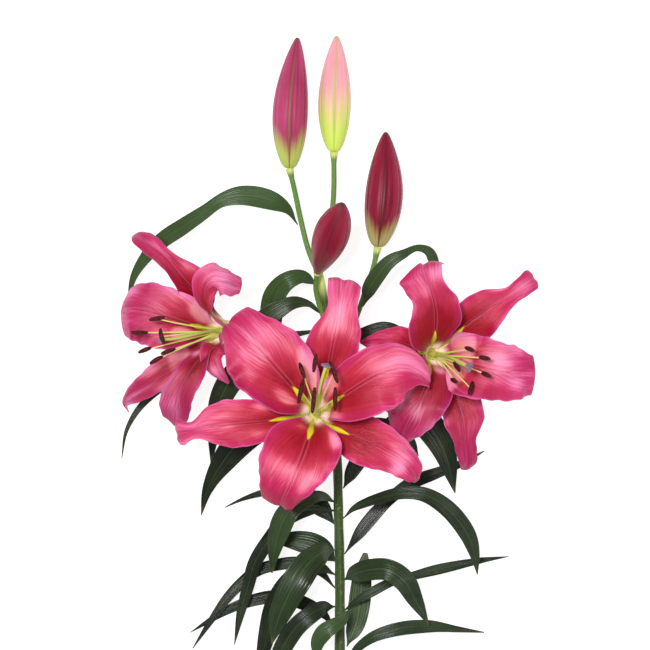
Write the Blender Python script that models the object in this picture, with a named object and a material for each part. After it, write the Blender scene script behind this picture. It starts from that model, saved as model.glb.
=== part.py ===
"""A cut lily lying on its side: one leafy stem with three open flowers and four closed buds.

The stem lies along +Y with its buds at the far end, and the flowers face up, along +Z.
Places are in millimetres on the table's plan, and MM turns them into metres.
"""
import math

import bmesh
import bpy
from mathutils import Matrix, Vector

MM = 0.001
PLAN_CENTRE = Vector((0.0, -48.0, 0.0))   # the middle of the lying stem, which becomes the origin
UP = Vector((0.0, 0.0, 1.0))
CURVE_STEPS = 16            # straight pieces between two points of a smooth route
SHARP_ANGLE = 50            # degrees between two faces from which their edge stays sharp

# Stem and stalks
STEM_BASE_RADIUS = 4.4
STEM_TOP_RADIUS = 3.2
STALK_RADIUS = 2.1
RECEPTACLE_RADIUS = 6.6
RECEPTACLE_LENGTH = 7.0
RECEPTACLE_SHOULDER = 0.85  # its radius at half its length, as a share of the whole
STEM_END_SHRINK = 0.6       # the last ring of the stem, hidden between the stalks
STEM_ROWS, STEM_SIDES = 22, 10
STALK_PROFILE = (1, 1, 1, 1, 1, 1, 1.1, 1.4, 1.7)       # a stalk's radius from its foot to its flower
STALK_SIDES = 8

# Flowers
PETAL_THICKNESS = 1.0
TRUMPET_PETALS = ((0.6, 4.9), (12.0, 6.4), (24.0, 11.0))     # height above the receptacle, radius
TRUMPET_SEPALS = ((0.6, 6.8), (12.0, 8.8), (21.0, 14.0))
PETAL_CLAW = 3.6            # half the width where a petal starts
PETAL_WIDEST = 0.60         # share of the length where a petal is widest
PETAL_CUP = 0.35            # half the angle of a petal's arched cross-section, in radians
WRAP_LIMIT = 0.96           # the most that one petal may wrap round the trumpet, in radians
OPENING_STARTS, OPENING_LENGTH = 0.22, 0.25     # shares of the length over which a petal leaves the trumpet
PETAL_FULLNESS = 2.1        # how quickly its width falls away on both sides of the widest place
BLADE_TIP = 0.6             # half the width of a petal or leaf at its very tip
PETAL_ROWS, PETAL_COLUMNS = 10, 4

# Pistil and stamens
OVARY_RADIUS, OVARY_LENGTH = 2.0, 16.0
STYLE_RADIUS, STIGMA_NECK, STIGMA_RADIUS = 1.0, 2.55, 3.4
FILAMENT_RADIUS, FILAMENT_TIP_RADIUS = 0.9, 0.7
STAMEN_RING_RADIUS, STAMEN_RING_WALL, STAMEN_RING_HEIGHT = 3.3, 0.8, 1.5
CORE_GAP = 0.5              # between the receptacle and what stands on its middle
FILAMENT_FOOT = 0.9         # height in the ring at which a filament starts
THROAT_HEIGHT, THROAT_WAIST = 26.0, 4.2     # where the filaments part, above the receptacle
FILAMENT_ARCH = 3.0         # how far a filament bows upwards on its way to the anther
ANTHER_RADIUS, ANTHER_BOW = 2.1, 0.8
ANTHER_PROFILE = (0.5, 0.95, 1, 0.95, 0.5)
FILAMENT_ROWS, FILAMENT_SIDES = 6, 5
RING_SIDES, ANTHER_SIDES, PISTIL_SIDES, PISTIL_ROWS = 16, 6, 8, 14

# Leaves
LEAF_THICKNESS = 1.0
LEAF_STALK = 2.6            # half the width where a leaf leaves the stem
LEAF_WIDEST = 0.42
LEAF_FULLNESS = 1.9
LEAF_CUP = 0.40
LEAF_ROWS, LEAF_COLUMNS = 9, 2
BUD_ROWS, BUD_SIDES = 11, 12
BUD_BASE_RADIUS, BUD_TIP_RADIUS = 3.6, 1.6
BUD_BELLY, BUD_FULLNESS = 0.86, 0.72        # how far up the belly sits, and how blunt the ends are

STEM_ROUTE = [(12, -330, 4.6), (12, -260, 6), (12, -204, 8), (11, -156, 11), (10, -110, 14),
              (7, -60, 19), (3, -10, 22), (-2, 28, 24), (-5, 44, 25)]

STALKS = {
    "first_bud": [(-4, 40, 24), (-10, 52, 24), (-15, 66, 23), (-20, 87, 22), (-24, 106, 18),
                  (-28.6, 126, 14.5)],
    "second_bud": [(-4, 42, 24), (0, 56, 23), (4, 80, 21), (7, 106, 18), (7.2, 139.5, 13.8)],
    "third_bud": [(-1, 6, 23), (-5, 18, 26), (-7.4, 30, 32), (-6.4, 41.6, 41.4)],
    "fourth_bud": [(6, -36, 21), (18, -12, 22), (26, 8, 22), (33, 28, 20), (39, 46, 17), (42.6, 62, 15.3)],
    "center_flower": [(3, -12, 22), (-3, -34, 26), (-7, -54, 34), (-8.3, -66, 43)],
    "right_flower": [(7, -48, 20), (28, -42, 18), (55, -34, 20), (74, -26, 27), (82.6, -22.6, 34)],
    "left_flower": [(6, -54, 19), (-10, -43, 17), (-30, -28, 14), (-49, -14, 14), (-61, -7, 20),
                    (-68.5, -5, 28)],
}

# Each bud runs from its base to its tip, with its greatest radius.
BUDS = {
    "first": ([(-29, 127.5, 14.4), (-28, 178, 14.4), (-22.4, 233.6, 13)], 14.2),
    "second": ([(7.2, 141, 13.6), (7.8, 184, 13.6), (9.4, 235, 12)], 13.2),
    "third": ([(-5.8, 43, 43.4), (4, 69, 73), (14, 96, 99)], 14.0),
    "fourth": ([(43, 63.5, 15.2), (48, 106, 15.2), (49.4, 156.8, 14)], 15.2),
}

# Each flower has its receptacle's place, the direction it faces, and the turn of its first petal
# in degrees. The three petals stand 120 degrees apart, and the three sepals halfway between them.
# A petal has half its width and the points that its midrib passes after it leaves the trumpet.
FLOWERS = {
    "center": {
        "receptacle": (-8, -71, 49), "axis": (0.03, 0.08, 0.99), "turn": 13,
        "petals": {
            "petal_upper_right": (27, [(7, -61, 86), (21, -51, 97), (40, -40, 103), (60, -34, 102),
                                       (74, -37, 96), (84, -45, 89)]),
            "petal_upper_left": (29, [(-20, -55, 86), (-34, -39, 97), (-50, -21, 102), (-65, -6, 99),
                                      (-77, 3, 91)]),
            "petal_bottom": (30, [(-12, -86, 86), (-17, -101, 97), (-23, -116, 101), (-29, -130, 96),
                                  (-33, -144, 84)]),
        },
        "sepals": {
            "sepal_top": (20, [(1, -42, 78), (5, -21, 84), (9, 0, 88), (12, 20, 88), (14, 37, 80)]),
            "sepal_left": (19, [(-31, -74, 76), (-50, -77, 82), (-71, -79, 84), (-95, -82, 82),
                                (-121, -88, 70)]),
            "sepal_lower_right": (19, [(12, -84, 76), (29, -91, 81), (47, -99, 82), (63, -109, 77),
                                       (76, -124, 64)]),
        },
        "stamens": [((-18, -36, 112), (4, -12, 5)), ((-19, -52, 106), (-4, -19, 0)),
                    ((-8, -30, 118), (-2, -14, 6)), ((-9, -59, 114), (-2, -20, -2)),
                    ((7, -37, 118), (6, -17, 0)), ((8, -58, 110), (0, -18, 0))],
        "style": [(-7, -67, 80), (-5, -54, 104), (-2, -41, 117), (1, -32, 122)],
    },
    "right": {
        "receptacle": (84.5, -23, 39), "axis": (0.24, -0.05, 0.97), "turn": 111,
        "petals": {
            "petal_top": (25, [(88, -7, 76), (88, 8, 88), (85, 23, 95), (81, 38, 96), (78, 52, 86)]),
            "petal_lower_left": (22, [(83, -43, 71), (77, -58, 75), (70, -72, 75), (63, -86, 67),
                                      (57, -98, 55)]),
            "petal_right": (26, [(107, -27, 74), (119, -32, 85), (137, -36, 90), (155, -40, 87),
                                 (172, -52, 74)]),
        },
        "sepals": {
            "sepal_left": (15, [(70, -18, 60), (58, -14, 63), (44, -13, 61), (28, -14, 54)]),
            "sepal_lower_right": (16, [(100, -47, 56), (107, -64, 59), (111, -82, 59), (113, -100, 53),
                                       (113, -116, 42)]),
            "sepal_upper_right": (17, [(104, -8, 65), (115, 2, 71), (129, 12, 74), (144, 22, 73),
                                       (160, 33, 67), (171, 39, 57)]),
        },
        "stamens": [((114, -19, 104), (8, -3, 12)), ((126, -26, 102), (10, -2, 8)),
                    ((104, -33, 97), (5, -9, 12)), ((127, -39, 98), (8, -4, 10)),
                    ((102, -44, 96), (5, -3, 14)), ((115, -50, 94), (-4, -11, 10))],
        "style": [(91, -24, 68), (98, -25, 90), (106, -29, 106), (113, -33, 115)],
    },
    "left": {
        "receptacle": (-75, -4, 36), "axis": (-0.57, -0.07, 0.81), "turn": 45,
        "petals": {
            "petal_upper_right": (19, [(-90, 10, 74), (-95, 22, 88), (-94, 33, 97), (-86, 38, 99),
                                       (-76, 37, 93), (-66, 30, 82)]),
            "petal_left": (27, [(-110, -2, 61), (-125, 4, 69), (-141, 9, 71), (-155, 11, 65),
                                (-166, 10, 52)]),
            "petal_bottom": (20, [(-92, -28, 64), (-99, -37, 68), (-106, -48, 68), (-113, -60, 62),
                                  (-119, -72, 53), (-123, -83, 43)]),
        },
        "sepals": {
            "sepal_upper_left": (16, [(-98, 17, 58), (-106, 29, 67), (-116, 42, 73), (-127, 55, 75),
                                      (-139, 66, 72), (-152, 74, 62)]),
            "sepal_lower_left": (15, [(-104, -26, 46), (-115, -32, 48), (-128, -40, 47), (-142, -50, 42),
                                      (-157, -59, 32), (-165, -66, 20)]),
            "sepal_lower_right": (14, [(-74, -24, 68), (-77, -33, 76), (-80, -41, 76), (-80, -49, 68),
                                       (-78, -57, 52)]),
        },
        "stamens": [((-133, 5, 94), (-15, -2, 4)), ((-128, -9, 104), (4, -14, 4)),
                    ((-147, -6, 92), (-16, 0, 4)), ((-143, -20, 82), (-13, -5, 6)),
                    ((-124, -21, 96), (-14, -5, 4)), ((-134, -28, 84), (-13, -7, 4))],
        "style": [(-89, -9, 60), (-106, -10, 78), (-121, -11, 92), (-129, -11, 98)],
    },
}

# Each leaf has half its width and its midrib's points, from the stem to the tip.
LEAVES = {
    "leaf_right_lowest": (6, [(18, -274, 9), (27, -262, 15), (41, -252, 20), (62, -246, 20), (86, -245, 13),
                              (108, -248, 5), (130, -251, 0.5)]),
    "leaf_right_low_arch": (9.5, [(17.5, -206, 16), (25, -201, 28), (37, -197, 38), (51, -197, 45),
                                  (64, -206, 43), (73, -222, 32), (84, -243, 22)]),
    "leaf_right_far": (5, [(17.6, -231, 9), (26, -224, 12), (38, -217, 14), (54, -209, 13), (72, -204, 10),
                           (88, -200, 7), (107, -196, 4), (128, -192, 2), (150, -189, 0.5)]),
    "leaf_right_high_arch": (7.5, [(17, -155, 16), (24, -148, 26), (39, -141, 38), (60, -135, 50),
                                   (80, -136, 53), (99, -148, 48), (114, -167, 36), (121, -185, 24),
                                   (124, -203, 12)]),
    "leaf_right_passing": (6, [(18.4, -183, 8), (26, -172, 10), (36, -159, 10), (51, -143, 9), (70, -129, 7),
                               (90, -121, 5), (111, -113, 3), (130, -103, 0.5)]),
    "leaf_right_short": (6.5, [(19.5, -258, 4), (25, -244, 3), (28, -227, 3), (30, -208, 3), (33, -186, 2)]),
    "leaf_under_right_flower": (12, [(13, -66, 21), (36, -56, 28), (63, -64, 33), (83, -80, 33),
                                     (97, -103, 24), (106, -137, 6)]),
    "leaf_behind_petals": (8, [(15, -93, 14), (33, -84, 16), (52, -84, 16), (68, -94, 12), (76, -107, 6)]),
    "leaf_right_middle": (7, [(17, -129, 10), (25, -114, 10), (36, -99, 8), (48, -84, 5), (60, -68, 2)]),
    "leaf_fourth_bud": (7, [(32, 18, 26), (36, 30, 38), (43, 41, 44), (52, 51, 48), (63, 57, 48),
                            (74, 62, 43), (84, 59, 35), (89, 48, 25), (92, 35, 16)]),
    "leaf_right_upper": (5.5, [(10, -24, 26), (19, -13, 33), (33, -6, 38), (47, -2, 39), (58, -5, 38),
                               (66, -14, 35), (70, -24, 32)]),
    "leaf_first_bud": (8.5, [(-24, 84, 25), (-31, 94, 36), (-46, 101, 45), (-66, 104, 50), (-83, 100, 50),
                             (-98, 90, 46), (-115, 79, 40), (-132, 68, 32), (-146, 54, 22), (-156, 38, 11),
                             (-161, 18, 0.5)]),
    "leaf_left_curled": (9.5, [(-9, 34, 29), (-19, 39, 41), (-31, 35, 44), (-40, 25, 37), (-43, 12, 28),
                               (-42, 1, 22), (-38, -8, 19)]),
    "leaf_left_upper": (8, [(-5.6, 11, 28), (-13, 17, 40), (-25, 18, 48), (-38, 12, 49), (-50, 3, 46),
                            (-57, -7, 42), (-60, -18, 38)]),
    "leaf_left_flower": (10.5, [(-0.5, -31, 20), (-14, -24, 22), (-32, -20, 24), (-57, -28, 26),
                                (-74, -42, 26), (-85, -61, 20), (-90, -83, 11), (-93, -114, 0.5)]),
    "leaf_left_broad": (11.5, [(3, -95, 16), (-20, -81, 20), (-48, -82, 26), (-70, -96, 26), (-86, -116, 17),
                               (-96, -135, 8), (-101, -155, 0.5)]),
    "leaf_left_far": (4, [(-3, -4, 15), (-28, -8, 12), (-51, -10, 10), (-79, -19, 8), (-106, -31, 6),
                          (-130, -48, 5), (-150, -66, 3), (-162, -86, 2), (-166, -109, 0.5)]),
    "leaf_left_low_behind": (8, [(6, -160, 6), (-4, -148, 5), (-18, -138, 4), (-34, -134, 3), (-51, -137, 2),
                                 (-67, -142, 1.5), (-82, -149, 0.5)]),
    "leaf_left_hanging": (9.5, [(6, -143, 16), (-4, -138, 32), (-18, -142, 42), (-30, -151, 44),
                                (-37, -166, 39), (-41, -183, 31), (-43, -201, 24)]),
    "leaf_left_narrow": (6, [(6, -151, 9), (-12, -150, 14), (-32, -158, 21), (-46, -175, 22), (-57, -193, 18),
                             (-63, -214, 12), (-69, -236, 7), (-74, -261, 0.5)]),
    "leaf_left_short": (9, [(6, -190, 11), (-6, -180, 14), (-19, -176, 13), (-34, -175, 10), (-50, -177, 6)]),
    "leaf_left_sweep": (5, [(6, -212, 5), (-4, -201, 6), (-19, -194, 5), (-37, -195, 5), (-55, -200, 6),
                            (-69, -211, 7), (-81, -224, 7), (-93, -241, 6), (-108, -264, 2)]),
    "leaf_left_lowest": (6, [(5.4, -244, 4), (-2, -235, 4), (-15, -228, 3), (-29, -223, 3), (-45, -222, 2),
                             (-63, -226, 0.5), (-82, -234, 0.5), (-110, -251, 0.5)]),
    "leaf_front_broad": (12, [(6, -183, 20), (-3, -184, 34), (-14, -193, 42), (-23, -206, 46),
                              (-31, -221, 43), (-38, -238, 34), (-43, -258, 26)]),
    "leaf_left_dark": (9, [(6, -202, 12), (-4, -197, 19), (-18, -199, 23), (-31, -211, 24), (-41, -229, 20),
                           (-47, -251, 14), (-52, -273, 8), (-57, -297, 0.5)]),
    "leaf_front_lower": (8, [(6, -229, 14), (-2, -229, 26), (-13, -235, 33), (-24, -245, 32), (-34, -261, 25),
                             (-42, -280, 15), (-48, -301, 4)]),
    "leaf_front_folded": (6, [(18, -233, 22), (13, -239, 32), (6, -243, 36), (-1, -248, 36),
                              (-6, -257, 33), (-7, -271, 27)]),
}

FINISHES = {
    "petal": ((0.62, 0.04, 0.12, 1), 0.45),
    "bud_skin": ((0.55, 0.12, 0.16, 1), 0.42),
    "anther": ((0.13, 0.02, 0.015, 1), 0.8),
    "pistil": ((0.36, 0.40, 0.14, 1), 0.45),
    "stem": ((0.07, 0.13, 0.03, 1), 0.5),
    "leaf": ((0.03, 0.08, 0.035, 1), 0.42),
}


def clear_scene():
    for item in list(bpy.data.objects):
        bpy.data.objects.remove(item, do_unlink=True)


def finish_of(name):
    """The Principled material of one finish, made once."""
    if name in bpy.data.materials:
        return bpy.data.materials[name]
    color, roughness = FINISHES[name]
    material = bpy.data.materials.new(name)
    material.use_nodes = True
    shader = material.node_tree.nodes["Principled BSDF"]
    shader.inputs["Base Color"].default_value = color
    shader.inputs["Roughness"].default_value = roughness
    shader.inputs["Metallic"].default_value = 0.0
    return material


def smooth_route(points, count):
    """Places at equal distances on a smooth curve that passes through every point."""
    knots = [Vector(p) for p in points]
    knots = [2 * knots[0] - knots[1]] + knots + [2 * knots[-1] - knots[-2]]
    fine = []
    for a, b, c, d in zip(knots, knots[1:], knots[2:], knots[3:]):
        for step in range(CURVE_STEPS):
            u = step / CURVE_STEPS
            fine.append(0.5 * (2 * b + (c - a) * u + (2 * a - 5 * b + 4 * c - d) * u * u
                               + (3 * b - a - 3 * c + d) * u ** 3))
    fine.append(knots[-2])
    lengths = [0.0]
    for a, b in zip(fine, fine[1:]):
        lengths.append(lengths[-1] + (b - a).length)
    route, place = [], 0
    for i in range(count + 1):
        target = lengths[-1] * i / count
        while place < len(fine) - 2 and lengths[place + 1] < target:
            place += 1
        share = (target - lengths[place]) / max(lengths[place + 1] - lengths[place], 1e-9)
        route.append(fine[place].lerp(fine[place + 1], min(share, 1.0)))
    return route


def direction_at(route, i):
    return (route[min(i + 1, len(route) - 1)] - route[max(i - 1, 0)]).normalized()


def to_world(place):
    return (place - PLAN_CENTRE) * MM


def add_object(name, mesh, finish):
    """Turns a bmesh into a named object with its finish."""
    bmesh.ops.recalc_face_normals(mesh, faces=mesh.faces)
    data = bpy.data.meshes.new(name)
    mesh.to_mesh(data)
    mesh.free()
    item = bpy.data.objects.new(name, data)
    bpy.context.collection.objects.link(item)
    data.materials.append(finish_of(finish))
    data.shade_smooth()
    data.set_sharp_from_angle(angle=math.radians(SHARP_ANGLE))
    return item


def lance(t, base, half_width, widest, fullness):
    """Half the width at share t of the length: narrow at the base, pointed at the tip."""
    rise, fall = fullness * widest, fullness * (1 - widest)
    bulge = (t ** rise) * ((1 - t) ** fall) / ((widest ** rise) * ((1 - widest) ** fall))
    return base * (1 - t) + BLADE_TIP + (half_width - base / 2) * bulge


def blade(name, route, across, half_widths, cups, thickness, columns, finish):
    """A petal or leaf: an arched cross-section carried along its midrib, then given a thickness."""
    rows = len(route) - 1
    mesh = bmesh.new()
    bmesh.ops.create_grid(mesh, x_segments=columns, y_segments=rows, size=1.0)
    for vertex in mesh.verts:
        row = round((vertex.co.y + 1) / 2 * rows)
        v = vertex.co.x
        ahead = direction_at(route, row)
        side = across(row, ahead)
        inward = ahead.cross(side)
        width, cup = half_widths[row], cups[row]
        aside = width * math.sin(cup * v) / cup
        rise = width * (1 - math.cos(cup * v)) / cup
        place = route[row] + side * aside + inward * rise
        place.z = max(place.z, thickness / 2)
        vertex.co = to_world(place)
    item = add_object(name, mesh, finish)
    solid = item.modifiers.new("Thickness", "SOLIDIFY")
    solid.thickness = thickness * MM
    solid.offset = 0.0
    return item


def tube(name, route, radii, sides, finish):
    """A round solid along a route, with a flat face at each end."""
    mesh = bmesh.new()
    ring = bmesh.ops.create_circle(mesh, segments=sides, radius=1.0)["verts"]
    edges = mesh.edges[:]
    angles = [math.atan2(vertex.co.y, vertex.co.x) for vertex in ring]
    side = direction_at(route, 0).orthogonal().normalized()
    for i, (centre, radius) in enumerate(zip(route, radii)):
        ahead = direction_at(route, i)
        side = (side - ahead * side.dot(ahead)).normalized()
        other = ahead.cross(side)
        if i:
            before = [vertex.co.copy() for vertex in ring]
            moved = bmesh.ops.extrude_edge_only(mesh, edges=edges)["geom"]
            edges = [part for part in moved if isinstance(part, bmesh.types.BMEdge)]
            fresh = [part for part in moved if isinstance(part, bmesh.types.BMVert)]
            ring = [min(fresh, key=lambda vertex: (vertex.co - spot).length) for spot in before]
        for vertex, angle in zip(ring, angles):
            place = centre + (side * math.cos(angle) + other * math.sin(angle)) * radius
            place.z = max(place.z, 0.0)
            vertex.co = to_world(place)
    bmesh.ops.holes_fill(mesh, edges=mesh.edges)
    return add_object(name, mesh, finish)


def fuse(name, items):
    """One closed solid out of several that run into each other."""
    body = items[0]
    for item in items[1:]:
        union = body.modifiers.new("Union", "BOOLEAN")
        union.operation = "UNION"
        union.object = item
        evaluated = body.evaluated_get(bpy.context.evaluated_depsgraph_get())
        joined = bpy.data.meshes.new_from_object(evaluated)
        body.modifiers.clear()
        body.data = joined
        bpy.data.objects.remove(item, do_unlink=True)
    body.name = name
    body.data.name = name
    return body


def make_stem():
    """The main stem and its seven stalks, grown as one."""
    route = smooth_route(STEM_ROUTE, STEM_ROWS)
    taper = (STEM_TOP_RADIUS - STEM_BASE_RADIUS) / STEM_ROWS
    radii = [STEM_BASE_RADIUS + taper * i for i in range(STEM_ROWS + 1)]
    radii[-1] *= STEM_END_SHRINK
    parts = [tube("stem", route, radii, STEM_SIDES, "stem")]
    for name, points in STALKS.items():
        route = smooth_route(points, len(STALK_PROFILE) - 1)
        radii = [STALK_RADIUS * share for share in STALK_PROFILE]
        flower = FLOWERS.get(name.split("_")[0]) if name.endswith("flower") else None
        if flower:
            axis = Vector(flower["axis"]).normalized()
            end = Vector(flower["receptacle"])
            route[-1] = end - axis * RECEPTACLE_LENGTH
            route.append(end - axis * RECEPTACLE_LENGTH / 2)
            route.append(end)
            radii += [RECEPTACLE_RADIUS * RECEPTACLE_SHOULDER, RECEPTACLE_RADIUS]
        parts.append(tube(name, route, radii, STALK_SIDES, "stem"))
    return fuse("stem", parts)


def make_bud(name, points, radius):
    """A closed bud: a long spindle with a blunt tip."""
    route = smooth_route(points, BUD_ROWS)
    radii = []
    for i in range(BUD_ROWS + 1):
        t = i / BUD_ROWS
        ends = BUD_BASE_RADIUS * (1 - t) + BUD_TIP_RADIUS * t
        swell = math.sin(math.pi * t ** BUD_BELLY) ** BUD_FULLNESS
        radii.append(ends + (radius - (BUD_BASE_RADIUS + BUD_TIP_RADIUS) / 2) * swell)
    return tube(name, route, radii, BUD_SIDES, "bud_skin")


def make_petal(name, flower, turn, half_width, limb, trumpet):
    """One petal or sepal: wrapped round the trumpet first, then spread along its limb."""
    axis = Vector(flower["axis"]).normalized()
    receptacle = Vector(flower["receptacle"])
    across_axis = (Vector((1, 0, 0)) - axis * axis.x).normalized()
    outward = Matrix.Rotation(math.radians(turn), 3, axis) @ across_axis
    around = axis.cross(outward)
    start = [receptacle + axis * height + outward * radius for height, radius in trumpet]
    route = smooth_route(start + limb, PETAL_ROWS)
    half_widths, cups = [], []
    for i, place in enumerate(route):
        t = i / PETAL_ROWS
        from_axis = place - receptacle
        radius = (from_axis - axis * from_axis.dot(axis)).length
        open_share = min(1.0, max(0.0, (t - OPENING_STARTS) / OPENING_LENGTH))
        width = lance(t, PETAL_CLAW, half_width, PETAL_WIDEST, PETAL_FULLNESS)
        wrapped = min(width, WRAP_LIMIT * radius)
        width = wrapped + (width - wrapped) * open_share
        wrap = min(WRAP_LIMIT, width / radius)
        half_widths.append(width)
        cups.append(wrap + (PETAL_CUP - wrap) * open_share)

    def across(row, ahead):
        return (around - ahead * around.dot(ahead)).normalized()

    return blade(name, route, across, half_widths, cups, PETAL_THICKNESS, PETAL_COLUMNS, "petal")


def make_stamens(name, flower):
    """Six filaments with their anthers, joined by the ring that they grow from."""
    axis = Vector(flower["axis"]).normalized()
    receptacle = Vector(flower["receptacle"])
    foot = receptacle + axis * CORE_GAP
    ring_route = [foot, foot + axis * STAMEN_RING_HEIGHT]
    inner_radius = STAMEN_RING_RADIUS - STAMEN_RING_WALL / 2
    outer = tube("ring", ring_route, [inner_radius + STAMEN_RING_WALL] * 2, RING_SIDES, "pistil")
    hole = tube("hole", [foot - axis * 2, foot + axis * 4], [inner_radius] * 2, RING_SIDES, "pistil")
    cut = outer.modifiers.new("Hole", "BOOLEAN")
    cut.operation = "DIFFERENCE"
    cut.object = hole
    outer.data = bpy.data.meshes.new_from_object(
        outer.evaluated_get(bpy.context.evaluated_depsgraph_get()))
    outer.modifiers.clear()
    bpy.data.objects.remove(hole, do_unlink=True)
    parts = [outer]
    throat = receptacle + axis * THROAT_HEIGHT
    shrink = (FILAMENT_TIP_RADIUS - FILAMENT_RADIUS) / FILAMENT_ROWS
    for middle, length in flower["stamens"]:
        middle, length = Vector(middle), Vector(length)
        lean = middle - throat
        outward = (lean - axis * lean.dot(axis)).normalized()
        start = foot + axis * FILAMENT_FOOT + outward * STAMEN_RING_RADIUS
        waist = throat + outward * THROAT_WAIST
        arch = waist.lerp(middle, 0.55) + axis * FILAMENT_ARCH
        route = smooth_route([start, start.lerp(waist, 0.5), waist, arch, middle], FILAMENT_ROWS)
        radii = [FILAMENT_RADIUS + shrink * i for i in range(FILAMENT_ROWS + 1)]
        parts.append(tube("filament", route, radii, FILAMENT_SIDES, "pistil"))
        ends = smooth_route([middle - length / 2, middle + axis * ANTHER_BOW, middle + length / 2], 4)
        radii = [ANTHER_RADIUS * share for share in ANTHER_PROFILE]
        parts.append(tube("anther", ends, radii, ANTHER_SIDES, "anther"))
    return fuse(name, parts)


def make_pistil(name, flower):
    """The ovary, the style and the three-lobed stigma, grown as one."""
    axis = Vector(flower["axis"]).normalized()
    foot = Vector(flower["receptacle"]) + axis * CORE_GAP
    ovary_top = foot + axis * OVARY_LENGTH
    route = smooth_route([foot, foot.lerp(ovary_top, 0.5), ovary_top] + flower["style"], PISTIL_ROWS)
    radii = []
    for i, place in enumerate(route):
        along = (place - foot).dot(axis)
        radii.append(OVARY_RADIUS if along < OVARY_LENGTH else STYLE_RADIUS)
    radii[-2:] = [STIGMA_NECK, STIGMA_RADIUS]
    return tube(name, route, radii, PISTIL_SIDES, "pistil")


def make_leaf(name, half_width, points):
    """A lance-shaped leaf with its edges raised, arched along its midrib."""
    route = smooth_route(points, LEAF_ROWS)
    half_widths = [lance(i / LEAF_ROWS, LEAF_STALK, half_width, LEAF_WIDEST, LEAF_FULLNESS)
                   for i in range(LEAF_ROWS + 1)]

    def across(row, ahead):
        return UP.cross(ahead).normalized()

    return blade(name, route, across, half_widths, [LEAF_CUP] * (LEAF_ROWS + 1), LEAF_THICKNESS,
                 LEAF_COLUMNS, "leaf")


def make_lily():
    make_stem()
    for place, flower in FLOWERS.items():
        for i, (name, (half_width, limb)) in enumerate(flower["petals"].items()):
            make_petal(place + "_" + name, flower, flower["turn"] + 120 * i, half_width, limb, TRUMPET_PETALS)
        for i, (name, (half_width, limb)) in enumerate(flower["sepals"].items()):
            turn = flower["turn"] + 60 + 120 * i
            make_petal(place + "_" + name, flower, turn, half_width, limb, TRUMPET_SEPALS)
        make_stamens(place + "_stamens", flower)
        make_pistil(place + "_pistil", flower)
    for name, (points, radius) in BUDS.items():
        make_bud(name + "_bud", points, radius)
    for name, (half_width, points) in LEAVES.items():
        make_leaf(name, half_width, points)


clear_scene()
make_lily()
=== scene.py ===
"""The looks of the cut lily: its petals, leaves, buds and stem with their finishes, light and camera.

Places are in millimetres on the table's plan, as the lily's design holds them, and MM makes them metres.
"""
import math

import bmesh
import bpy
from mathutils import Matrix, Vector


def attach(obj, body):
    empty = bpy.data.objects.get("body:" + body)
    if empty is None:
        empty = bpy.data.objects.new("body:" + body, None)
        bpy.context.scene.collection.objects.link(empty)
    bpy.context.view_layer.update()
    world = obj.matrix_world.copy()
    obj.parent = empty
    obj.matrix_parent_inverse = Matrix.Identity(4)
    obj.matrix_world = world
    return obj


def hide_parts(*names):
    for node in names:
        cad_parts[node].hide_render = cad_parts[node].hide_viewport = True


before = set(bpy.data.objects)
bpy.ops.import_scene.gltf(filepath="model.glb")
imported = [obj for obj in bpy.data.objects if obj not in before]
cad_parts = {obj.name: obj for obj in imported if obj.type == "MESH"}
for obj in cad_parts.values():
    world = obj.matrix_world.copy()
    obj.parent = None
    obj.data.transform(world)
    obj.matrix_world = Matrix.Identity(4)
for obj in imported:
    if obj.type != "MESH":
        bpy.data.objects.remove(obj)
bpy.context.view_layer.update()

MM = 0.001
PLAN_CENTRE = Vector((0.0, -48.0, 0.0))
UP = Vector((0.0, 0.0, 1.0))
TURN = 2 * math.pi

# Petals
PETAL_ROWS, PETAL_COLUMNS = 84, 40
PETAL_THICKNESS = 0.9
TRUMPET_PETALS = ((0.6, 4.9), (12.0, 6.4), (24.0, 11.0))     # height above the receptacle, radius
TRUMPET_SEPALS = ((0.6, 6.8), (12.0, 8.8), (21.0, 14.0))
PETAL_NECK, SEPAL_NECK = 4.5, 4
WRAP_LIMIT = 0.96
PETAL_CUP, TIP_CUP = 0.42, -0.5
GROOVE_DEPTH, GROOVE_WIDTH, GUTTER_WIDTH = 0.9, 0.045, 0.2
TIP_DIP, TIP_DIP_WIDTH = 2.0, 0.3
EDGE_RIPPLE, EDGE_WAVES, FINE_EDGE_WAVES = 0.085, 3.4, 7.3     # share of the half width, waves per petal
EDGE_WAVER, WAVERS = 0.02, 9.1
RIM_THINNING = 0.62

# Leaves
LEAF_ROWS, LEAF_COLUMNS = 72, 16
LEAF_THICKNESS = 0.8
LEAF_CUP = 0.42
LEAF_FOOT, LEAF_NECK = 4.5, 1.8
LEAF_RIPPLE, LEAF_WAVES = 0.07, 2.2
LEAF_FOLD, LEAF_RIB, LEAF_RIBS = 0.06, 0.018, 4.5

# Buds
BUD_RINGS, BUD_SIDES = 72, 96
BUD_BASE_RADIUS, BUD_TIP_RADIUS, BUD_END_RADIUS = 3.4, 1.1, 2.3
BUD_RIB, BUD_HOLLOW, BUD_SEAM, BUD_BELLY = 0.030, 0.022, 0.05, 0.025     # shares of the radius

# Stem
STEM_BASE_RADIUS, STEM_TOP_RADIUS = 4.4, 3.2
STALK_RADIUS, BUD_SEAT_RADIUS = 2.1, 3.3
RECEPTACLE_RADIUS, RECEPTACLE_LENGTH = 6.6, 7.0
STEM_KNUCKLES, STEM_RIDGES, STALK_RIDGES = 13, 11, 7

# Stamens and pistils
THROAT_HEIGHT = 26
FILAMENT_RADIUS, FILAMENT_TAPER = 0.75, 0.25
ANTHER_RADIUS, ANTHER_SPLIT = 1.85, 0.22
OVARY_LENGTH, OVARY_SWELL = 16.0, 1.4
STYLE_RADIUS, STIGMA_RADIUS = 1.15, 4.0

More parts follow.
